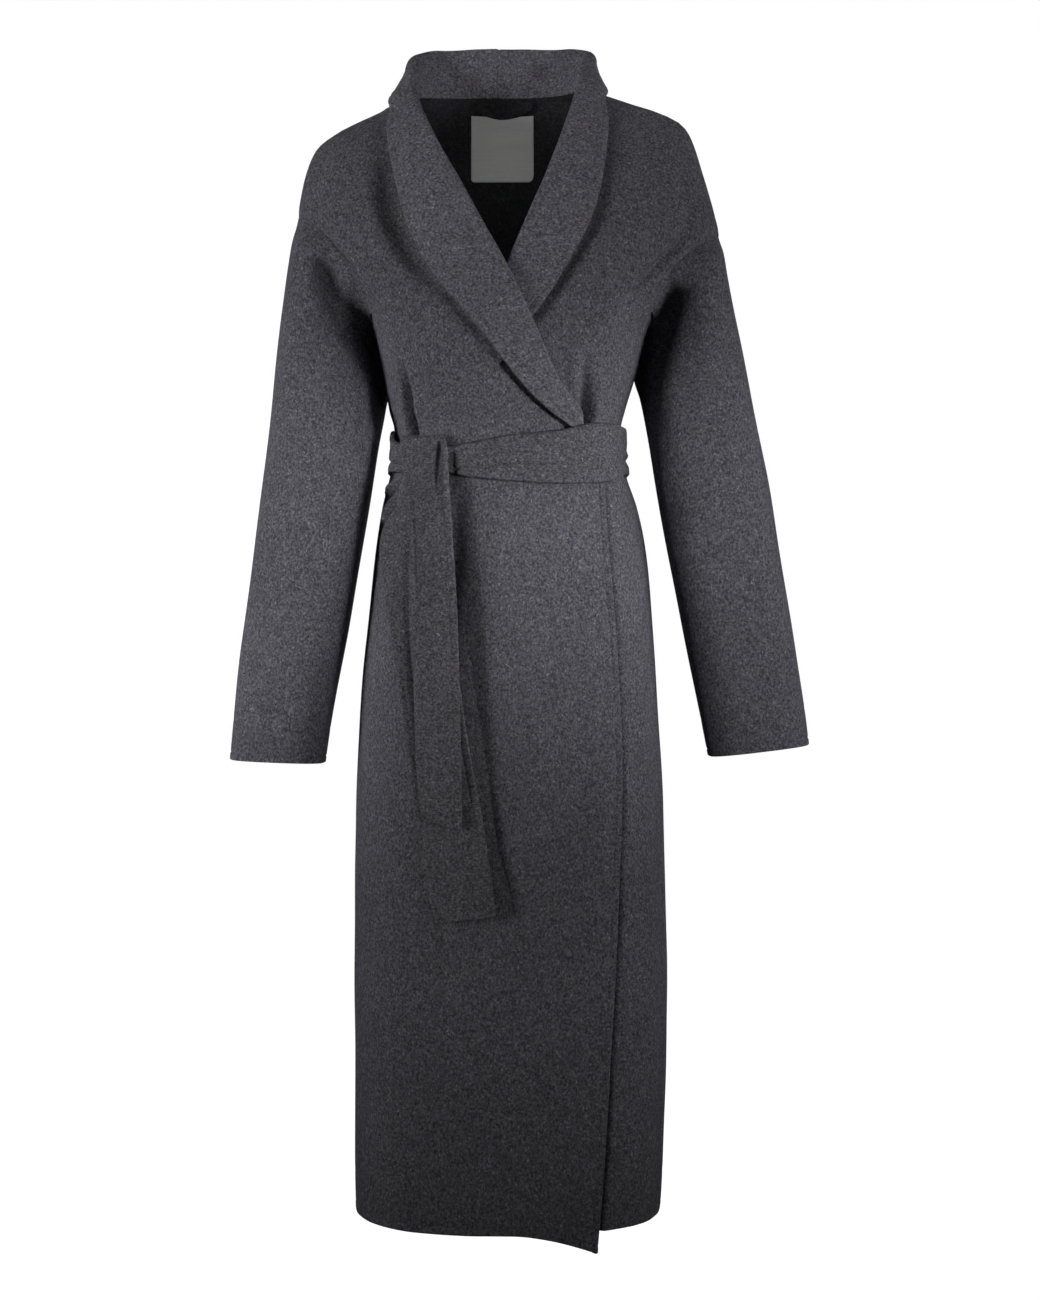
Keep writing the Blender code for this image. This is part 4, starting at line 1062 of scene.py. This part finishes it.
def folded_depth(around, fold_from):
    """Depth round a sleeve ring, as a share: round, but straight between its folds and its inner line."""
    cos, depth = np.cos(around), np.abs(np.sin(around))
    start = math.radians(fold_from)
    chord = math.sin(start) * (cos + 1) / max(math.cos(start) + 1, TINY)
    past = np.minimum(around, 2 * np.pi - around) - start
    return blend(depth, np.minimum(chord, depth), FOLD_SHARE * smooth_step(past / FOLD_TURN))


def sleeve_rings(side, around):
    """Points of the armhole seam and of every ring of a sleeve."""
    front = around <= np.pi
    z = row_z(side.seam_turn, TIP_ROW - HOLE_ROWS * np.where(front, around / np.pi, 2 - around / np.pi))
    back = side_edge(side, z, "back") + (360.0 if side.name == "left" else 0.0)
    rings = [creased(np.where(front, side_edge(side, z, "front"), back), z, -0.2 * MM)]
    for ring in SLEEVE_RINGS[side.name]:
        outer = np.array([ring.outer_x, ring.outer_y, ring.outer_z])
        inner = np.array([ring.inner_x, ring.inner_y, ring.inner_z])
        wide = np.sign(np.cos(around)) * np.abs(np.cos(around)) ** SLEEVE_SQUARE
        points = (outer + inner) / 2 + wide[:, None] * (outer - inner) / 2
        reach = np.where(np.sin(around) > 0, -ring.front, ring.back)
        points[:, 1] += folded_depth(around, ring.fold_from) ** SLEEVE_SQUARE * reach
        rings.append(points)
    return np.array(rings)


def make_sleeve(side):
    around = np.arange(AROUND_COUNT) * 2 * np.pi / AROUND_COUNT
    rings = sleeve_rings(side, around)
    run = np.linalg.norm(np.diff(rings, axis=0), axis=-1).mean(axis=1)
    keys = np.concatenate([[0], np.cumsum(run)])
    end = keys[-1]
    where = np.concatenate([SEAM_STEPS, np.arange(.012, end - .0155, .0046), end - EDGE_STEPS[::-1]])
    grid = spline_rows(rings, keys, where)
    normals = grid_normals(grid, closed=True)
    normals *= np.sign(np.sum(normals * (grid - grid.mean(axis=1, keepdims=True)), axis=-1).mean())
    angle, level = np.degrees(around)[None, :], grid[..., 2]
    from_seam, from_hem = where[:, None], (end - where)[:, None]
    height = creases_at(ARM_CREASES[side.name], angle, level, ARM_METRES)
    height *= smooth_step(from_seam / .03)
    height += felled(from_hem + HAND * hand_waver(angle / 1000, 5.0))
    height += -0.35 * MM * bell(from_hem - HEM_DEPTH, .0014)
    height += seam_sink(from_seam, 0.3 * MM)
    wave = np.sin(np.radians(3 * angle) + 21 * level) * np.sin(17 * level + np.radians(angle))
    height += 0.6 * MM * wave * smooth_step(from_seam / .05) * smooth_step(from_hem / .05)
    outer = add_along(grid, normals, height)
    inner = add_along(grid, normals, np.where(height < 0, height, 0.6 * height) - CLOTH)
    materials = (MATERIALS["wool"], MATERIALS["wool_inside"])
    return cloth_piece("sleeve_tube_" + side.name, outer, inner, materials, closed=True)


# Belt: it lies as an upper strand over a lower one; the line between them, as a share of its height.
STRANDS = table(
    "turn share",
    (0, .33), (60, .27), (120, .34), (200, .28),
    (228, .14), (239, .05), (250, .24), (262, .31),
    (283, .36), (300, .34), (322, .3), (360, .33),
)
STRAND_AT = Track(STRANDS, "turn")
LOWER_ROWS = np.array([0, .05, .13, .25, .4, .55, .7, .82, .91, .97])
UPPER_ROWS = np.array([0, .012, .03, .06, .11, .18, .28, .4, .52, .64, .76, .86, .93, .97, 1.0])
# Beside the knot the belt is drawn in: how far, where and how wide (degrees).
KNOT_HOLLOW, KNOT_HOLLOW_TURN, KNOT_HOLLOW_WIDTH = 5.5 * MM, 243.5, 2.4
BELT_COLUMNS = 360


def make_belt_wrap():
    turn = np.linspace(0, 360, BELT_COLUMNS, endpoint=False)
    top, bottom, lift = (BAND_AT(name, turn) for name in ("top", "bottom", "lift"))
    split = STRAND_AT("share", turn)[None, :]
    low = LOWER_ROWS[:, None] + 0 * split
    high = UPPER_ROWS[:, None] + 0 * split
    share = np.concatenate([low * split, split + high * (1 - split)])
    z = blend(bottom[None, :], top[None, :], share)
    lower = 1.3 * MM * np.sin(np.pi * np.clip(low * .9 + .1, 0, 1)) ** .6 - 0.5 * MM * low ** 3
    upper = BAND_ROLL * (1.15 * np.sqrt(np.clip(high / .10, 0, 1)) - .25 * smooth_step(high / .6))
    upper = upper * np.clip((1 - high) / .12, 0, 1) ** .5 + .5 * MM
    height = np.concatenate([lower, upper])
    along = np.radians(turn)[None, :] + 0 * z
    height += .35 * MM * np.sin(along * 9 + share * 11) * np.sin(share * 17 + along * 4)
    height += .45 * MM * np.sin(share * 21 + along * 5) * np.sin(np.pi * share)
    beside = bell(turn - KNOT_HOLLOW_TURN, KNOT_HOLLOW_WIDTH)
    height -= KNOT_HOLLOW * beside[None, :] * smooth_step((.95 - share) / .35)
    outer = lifted(turn[None, :], z, lift[None, :] + BELT_CLOTH + height)
    inner = lifted(turn[None, :], z, lift[None, :] + 0.8 * BAND_ROLL * np.sin(np.pi * share) ** .6)
    return cloth_piece("belt_round_waist", outer, inner, (MATERIALS["wool_belt"],), closed=True)


# Rows of a belt end to one step of its table.
TAIL_PARTS = 14


def strip_fine(rows, shares):
    """Points of a belt end's outer face, and the step of its table that each row is at."""
    track = Track(rows)
    step = np.linspace(0, len(rows) - 1, (len(rows) - 1) * TAIL_PARTS + 1)
    share = shares[None, :]
    x = blend(track("left", step)[:, None], track("right", step)[:, None], share)
    z = blend(track("z_left", step)[:, None], track("z_right", step)[:, None], share)
    lift = track("lift", step)[:, None] + STRIP_CROWN * np.sin(np.pi * share)
    return lifted(front_turn(x, z), z, lift), step


# Long soft folds along the belt's ends: between which steps of the end's table and where across it
# they run, how wide and how high (shares of the strip's width).
TAIL_FOLD = "start end share_a share_b width rise*"
TAIL_FOLDS = {
    "belt_tail_front": table(
        TAIL_FOLD,
        (4.1, 8.4, .93, .66, .055, -4.2),
        (4.2, 9, .99, .88, .055, 2.2),
        (5, 8.4, .74, .56, .055, 1.6),
        (6.4, 10.6, .07, .12, .045, -2.6),
        (5.6, 9.4, .36, .3, .1, -1.2),
        (8.6, 12.8, .55, .42, .22, .8),
    ),
    "belt_tail_back": table(
        TAIL_FOLD,
        (3.5, 7.6, .52, .11, .05, -3.6),
        (2.6, 8.6, 0, 0, .18, 4.5),
        (5, 8.8, .8, .66, .2, .8),
    ),
}


def make_belt_tail(name, rows, width):
    shares = fine_shares(width, EDGE_STEPS, EDGE_STEPS, .0018)
    face, step = strip_fine(rows, shares)
    normals = grid_normals(face)
    if normals[-1, 0, 1] > 0:
        normals = -normals
    left, right, along = (distance_from(face, edge) for edge in ("first", "last", "foot"))
    height = felled(left + 0.2 * MM * hand_waver(along, 1.3))
    height = height + felled(right + 0.2 * MM * hand_waver(along, 4.1))
    height += felled(along[-1][None, :] - along)
    for fold in TAIL_FOLDS[name]:
        t = np.clip((step - fold.start) / (fold.end - fold.start), 0, 1)[:, None]
        middle = blend(fold.share_a, fold.share_b, t)
        ends = smooth_step(t / .25) * smooth_step((1 - t) / .35)
        height += fold.rise * ends * bell(shares[None, :] - middle, fold.width)
    height += .3 * MM * np.sin(along * 43.0 + shares[None, :] * 5)
    outer = add_along(face, normals, height)
    inner = add_along(face, normals, 0.5 * height - BELT_CLOTH)
    return cloth_piece(name, outer, inner, (MATERIALS["wool_belt"],))


# Label and hanger loop

# The radius of the label's two lower corners, at its left and right.
LABEL_CORNERS = ((LABEL_RIGHT, -1, .007), (LABEL_LEFT, 1, .0025))


def make_label():
    across, down = np.linspace(0, 1, 61)[None, :], np.linspace(0, 1, 57)[:, None]
    x = blend(LABEL_LEFT, LABEL_RIGHT, across) + 0 * down
    z = blend(LABEL_BOTTOM, LABEL_TOP, down) + 0 * across
    for corner_x, inward, radius in LABEL_CORNERS:
        low = np.clip((radius - (x - corner_x) * inward) / radius, 0, 1)
        raised = radius * (1 - np.sqrt(1 - low ** 2))
        z = z + raised * (1 - (z - LABEL_BOTTOM) / (LABEL_TOP - LABEL_BOTTOM))
    pucker = .25 * MM * np.sin(x * 900) * np.exp(-(LABEL_TOP - z) / .004)
    puff = .5 * MM * np.sin(np.pi * across) ** .5 * np.sin(np.pi * down) ** .5
    from_sides = np.minimum(x - LABEL_LEFT, LABEL_RIGHT - x)
    edge = np.minimum(from_sides, np.minimum(LABEL_TOP - z, z - LABEL_BOTTOM))
    fold_line = -.15 * MM * bell(edge - .0035, .0005)
    lift = -CLOTH - LABEL_AIR - puff - pucker - fold_line
    face, hidden = lifted(back_turn(x, z), z, lift - LABEL_CLOTH), lifted(back_turn(x, z), z, lift)
    return cloth_piece("neck_label", face[:, ::-1], hidden[:, ::-1], (MATERIALS["satin"],))


def make_hanger_loop():
    across = np.linspace(0, 1, 81)
    down = np.array([0, .06, .15, .3, .5, .7, .85, .94, 1.0])[:, None]
    x = blend(LOOP_LEFT, LOOP_RIGHT, across)[None, :] + 0 * down
    sag = (LOOP_TOP - LOOP_DIP - LOOP_HEIGHT) * np.sin(np.pi * across) ** LOOP_SAG_POWER
    z = LOOP_TOP - LOOP_HEIGHT - sag[None, :] + LOOP_HEIGHT * down
    off = CLOTH + LOOP_AIR + LOOP_STAND_OFF * np.sin(np.pi * across)[None, :] + 0 * z
    round_face = .5 * MM * np.sin(np.pi * down) ** .6
    face = lifted(back_turn(x, z), z, -off - CLOTH - round_face)
    hidden = lifted(back_turn(x, z), z, -off)
    return cloth_piece("hanging_loop", face[:, ::-1], hidden[:, ::-1], (MATERIALS["wool_inside"],))


# Materials
class Finish:
    """A procedural material in the making."""

    def __init__(self, name):
        self.material = bpy.data.materials.new(name)
        self.material.use_nodes = True
        self.nodes = self.material.node_tree.nodes
        self.shader = self.nodes["Principled BSDF"].inputs
        self.place = self.nodes.new("ShaderNodeTexCoord").outputs["Object"]

    def put(self, socket, value):
        """Gives a socket a value or another node's output."""
        if isinstance(value, bpy.types.NodeSocket):
            self.material.node_tree.links.new(value, socket)
        else:
            socket.default_value = value

    def add(self, kind, output, inputs, **settings):
        """Adds a node with these inputs and gives its output."""
        node = self.nodes.new("ShaderNode" + kind)
        for name, value in settings.items():
            setattr(node, name, value)
        for name, value in inputs.items():
            self.put(node.inputs[name], value)
        return node.outputs[output]

    def stretched(self, scale):
        return self.add("Mapping", 0, {"Vector": self.place, "Scale": scale})

    def noise(self, vector, scale, detail, roughness):
        return self.add("TexNoise", "Fac", {"Vector": vector, "Scale": scale, "Detail": detail,
                                            "Roughness": roughness})

    def ramp(self, value, low, high, out_low, out_high):
        return self.add("MapRange", "Result", {"Value": value, "From Min": low, "From Max": high,
                                               "To Min": out_low, "To Max": out_high})

    def math(self, operation, a, b):
        return self.add("Math", 0, {0: a, 1: b}, operation=operation)

    def finish(self, color, value, height, strength, distance, roughness, specular, sheen):
        """Sets colour (scaled by value), bump and gloss, and gives the finished material."""
        scaled = self.add("VectorMath", 0, {0: color, "Scale": value}, operation="SCALE")
        bump = self.add("Bump", 0, {"Height": height, "Strength": strength, "Distance": distance})
        for name, entry in (("Base Color", scaled), ("Normal", bump), ("Roughness", roughness),
                            ("Specular IOR Level", specular), ("Sheen Weight", sheen)):
            self.put(self.shader[name], entry)
        return self.material


def wool(name, base, streak, contrast=1.0):
    """Brushed melange wool: light and dark fibres, a short nap along its grain and soft patches."""
    cloth = Finish(name)
    place, grain = cloth.place, cloth.stretched(streak)
    value = cloth.ramp(cloth.noise(place, 400, 3, .62), .34, .66, 1 - .50 * contrast, 1 + .60 * contrast)
    for layer in (
        cloth.ramp(cloth.noise(grain, 1, 2, .6), .32, .68, 1 - .30 * contrast, 1 + .34 * contrast),
        cloth.ramp(cloth.noise(place, 430, 2, .55), .60, .74, .96, 1 + 1.1 * contrast),
        cloth.ramp(cloth.noise(place, 130, 3, .6), .3, .7, .84, 1.16),
        cloth.ramp(cloth.noise(place, 9, 2, .5), .3, .7, .95, 1.05),
    ):
        value = cloth.math("MULTIPLY", value, layer)
    mix = {"A": (base[0] * .96, base[1] * .99, base[2] * .93, 1),
           "B": (base[0] * 1.03, base[1] * 1.0, base[2] * 1.10, 1),
           "Factor": cloth.ramp(cloth.noise(place, 300, 2, .6), .38, .62, 0, 1)}
    color = cloth.add("Mix", "Result", mix, data_type="RGBA")
    height = cloth.math("ADD", cloth.math("MULTIPLY", cloth.noise(place, 700, 3, .7), .7),
                        cloth.noise(grain, 1, 2, .6))
    roughness = cloth.ramp(cloth.noise(place, 120, 2, .5), .3, .7, .84, .98)
    cloth.put(cloth.shader["Sheen Roughness"], .35)
    return cloth.finish(color, value, height, .35, .0006, roughness, .18, .05)


def satin(name, base):
    """Woven satin: fine threads along and across."""
    cloth = Finish(name)
    weft = cloth.noise(cloth.stretched((60, 60, 2600)), 1, 2, .5)
    warp = cloth.noise(cloth.stretched((2600, 2600, 60)), 1, 2, .5)
    value = cloth.math("MULTIPLY", cloth.ramp(weft, .3, .7, .93, 1.05), cloth.ramp(warp, .3, .7, .95, 1.04))
    roughness = cloth.ramp(warp, .3, .7, .38, .48)
    return cloth.finish(base, value, cloth.math("ADD", weft, warp), .15, .0002, roughness, .5, .3)


MATERIALS = {
    "wool": wool("wool_melange", (.118, .115, .130), (900, 900, 260)),
    # The collar and lapels use a lighter copy of the body's wool: painted light on the collar and lapels.
    "wool_collar": wool("wool_melange_collar", (.144, .140, .158), (260, 900, 900)),
    # The inner face is a near-black copy of the wool: painted shade inside the coat and on the hanger loop.
    "wool_inside": wool("wool_inner_face", (.034, .033, .036), (900, 900, 260), .7),
    "wool_belt": wool("wool_melange_belt", (.110, .107, .119), (330, 330, 900)),
    "satin": satin("label_satin", (.80, .80, .785)),
}


# Camera, light and floor
CAMERA_X, CAMERA_Y, CAMERA_Z = 0.0125, -2.4, -0.5924
LENS = 61.1
FLOOR_Z = -1.42


def make_camera():
    camera = bpy.data.cameras.new("camera")
    camera.lens = LENS
    camera.sensor_fit = "AUTO"
    camera.sensor_width = 36.0
    camera.clip_end = 60.0
    item = add_object("camera", camera)
    item.location = (CAMERA_X, CAMERA_Y, CAMERA_Z)
    item.rotation_euler = (math.pi / 2, 0, 0)
    bpy.context.scene.camera = item


LIGHTS = table(
    "name x y z aim_x aim_y aim_z width height power spread",
    ("side_left", -1.3, -.65, -.36, 0, 0, -.42, .45, .5, .2, 75),
    ("skirt_left", -1.3, -.65, -.8, 0, 0, -.8, .45, .5, .66, 60),
    ("skirt_right", 1.3, -.65, -.8, 0, 0, -.8, .45, .5, .58, 60),
    ("skirt_low_right", 1.1, -1.3, -.75, 0, -.1, -.75, .35, .5, .07, 30),
    ("shoulder_left", -1.3, -.65, .15, 0, 0, 0, .45, .4, .58, 45),
    ("shoulder_right", 1.3, -.65, .15, 0, 0, 0, .45, .4, .47, 45),
    ("waist_right", 1, -1, -.45, 0, -.1, -.45, .35, .35, .26, 22),
    ("sleeve_left", -1.3, -.75, -.48, -.28, 0, -.48, .3, .5, .22, 17),
    ("sleeve_right", 1.3, -.75, -.48, .28, 0, -.48, .3, .5, .1, 17),
    ("neck", 0, -1.9, -.25, 0, 0, .02, .3, .2, .042, 14),
    ("front", -.05, -2.1, -.6, 0, 0, -.6, .8, .5, .06, 60),
    ("behind", .3, 2.6, .9, 0, 0, -.5, 1.6, 1.4, 28, 180),
)


def make_lights():
    for row in LIGHTS:
        light = bpy.data.lights.new(row.name, "AREA")
        light.shape = "RECTANGLE"
        light.size, light.size_y = row.width, row.height
        light.energy = row.power
        light.spread = math.radians(row.spread)
        item = add_object(row.name, light)
        item.location = (row.x, row.y, row.z)
        aim = Vector((row.aim_x, row.aim_y, row.aim_z)) - item.location
        item.rotation_euler = aim.to_track_quat("-Z", "Y").to_euler()
        item.visible_camera = False


WHITE = (1, 1, 1, 1)
WORLD_LIGHT = .004
FLOOR_HALF = 14
# The backdrop's rings, from just under the floor to its top.
DOME = table("radius z", (13.5, FLOOR_Z - .01), (13.9, .6), (13.9, 14.0), (7.0, 19.0), (.01, 20.0))
DOME_SIDES = 96


def glowing(name, diffuse):
    """Paper that shines white by itself and takes this share of the light."""
    material = bpy.data.materials.new(name)
    material.use_nodes = True
    shader = material.node_tree.nodes["Principled BSDF"].inputs
    shader["Base Color"].default_value = (diffuse, diffuse, diffuse, 1)
    shader["Roughness"].default_value = 1.0
    shader["Emission Color"].default_value = WHITE
    shader["Emission Strength"].default_value = 1.0
    return material


def make_stage():
    world = bpy.data.worlds.new("studio")
    bpy.context.scene.world = world
    world.use_nodes = True
    background = world.node_tree.nodes["Background"].inputs
    background["Color"].default_value = WHITE
    background["Strength"].default_value = WORLD_LIGHT
    corners = np.array([[x, y, 0] for x in (-1, 1) for y in (-1, 1)], float)
    floor = make_mesh("floor", corners * FLOOR_HALF + np.array([0, 0, FLOOR_Z]), np.array([[0, 2, 3, 1]]))
    floor.data.materials.append(glowing("floor_paper", .2))
    around = np.linspace(0, 2 * np.pi, DOME_SIDES, endpoint=False)
    points = np.concatenate([np.stack([ring.radius * np.cos(around), ring.radius * np.sin(around),
                                       ring.z + 0 * around], axis=-1) for ring in DOME])
    index = np.arange(len(points)).reshape(len(DOME), DOME_SIDES)
    following = np.roll(index, -1, axis=1)
    faces = np.stack([index[:-1], following[:-1], following[1:], index[1:]], axis=-1).reshape(-1, 4)
    backdrop = make_mesh("backdrop", points, faces)
    backdrop.data.materials.append(glowing("backdrop_paper", 0.0))
    for item in (floor, backdrop):
        item.visible_diffuse = False
        item.visible_glossy = False
        item.visible_shadow = False
    bpy.context.scene.view_settings.view_transform = "Standard"
    bpy.context.scene.view_settings.look = "None"


make_camera()
make_lights()
make_stage()

back = make_back()
front_right, front_left = [make_front(side) for side in SIDES.values()]
collar_right, collar_left = [make_collar(side) for side in SIDES.values()]
sleeve_right, sleeve_left = [make_sleeve(side) for side in SIDES.values()]
belt = make_belt_wrap()
tail_front = make_belt_tail("belt_tail_front", FRONT_END, .042)
tail_back = make_belt_tail("belt_tail_back", BACK_END, .058)
label = make_label()
loop = make_hanger_loop()

# Each piece: the node it replaces, its slot, its cut (width, length, area) and how it is held.
CUTS = table(
    "piece node slot width length area held rests_on",
    (back, "back", "wool", .56, 1.22, .55, "hung", "coat_back"),
    (front_right, "front_right", "wool", .40, 1.22, .36, "hung", "coat_back"),
    (front_left, "front_left", "wool", .40, 1.22, .36, "hung", "coat_back"),
    (collar_right, "collar_right", "wool", .125, .62, .048, "folded", "coat_front_right"),
    (collar_left, "collar_left", "wool", .125, .58, .043, "folded", "coat_front_left"),
    (sleeve_right, "sleeve_right", "wool", .40, .57, .19, "hung", "coat_back"),
    (sleeve_left, "sleeve_left", "wool", .40, .57, .19, "hung", "coat_back"),
    (belt, "belt_wrap", "wool_belt", .058, .73, None, "folded", "coat_front_right"),
    (tail_front, "belt_end_front", "wool_belt", .045, .52, None, "folded", "belt_round_waist"),
    (tail_back, "belt_end_back", "wool_belt", .060, .50, None, "hung", "belt_round_waist"),
    (label, "label", "satin", .071, .070, None, "laid", "coat_back"),
    (loop, "hanger_loop", "wool", .010, .074, None, "folded", "coat_back"),
)
for cut in CUTS:
    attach(cut.piece, "root")
    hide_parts(cut.node)
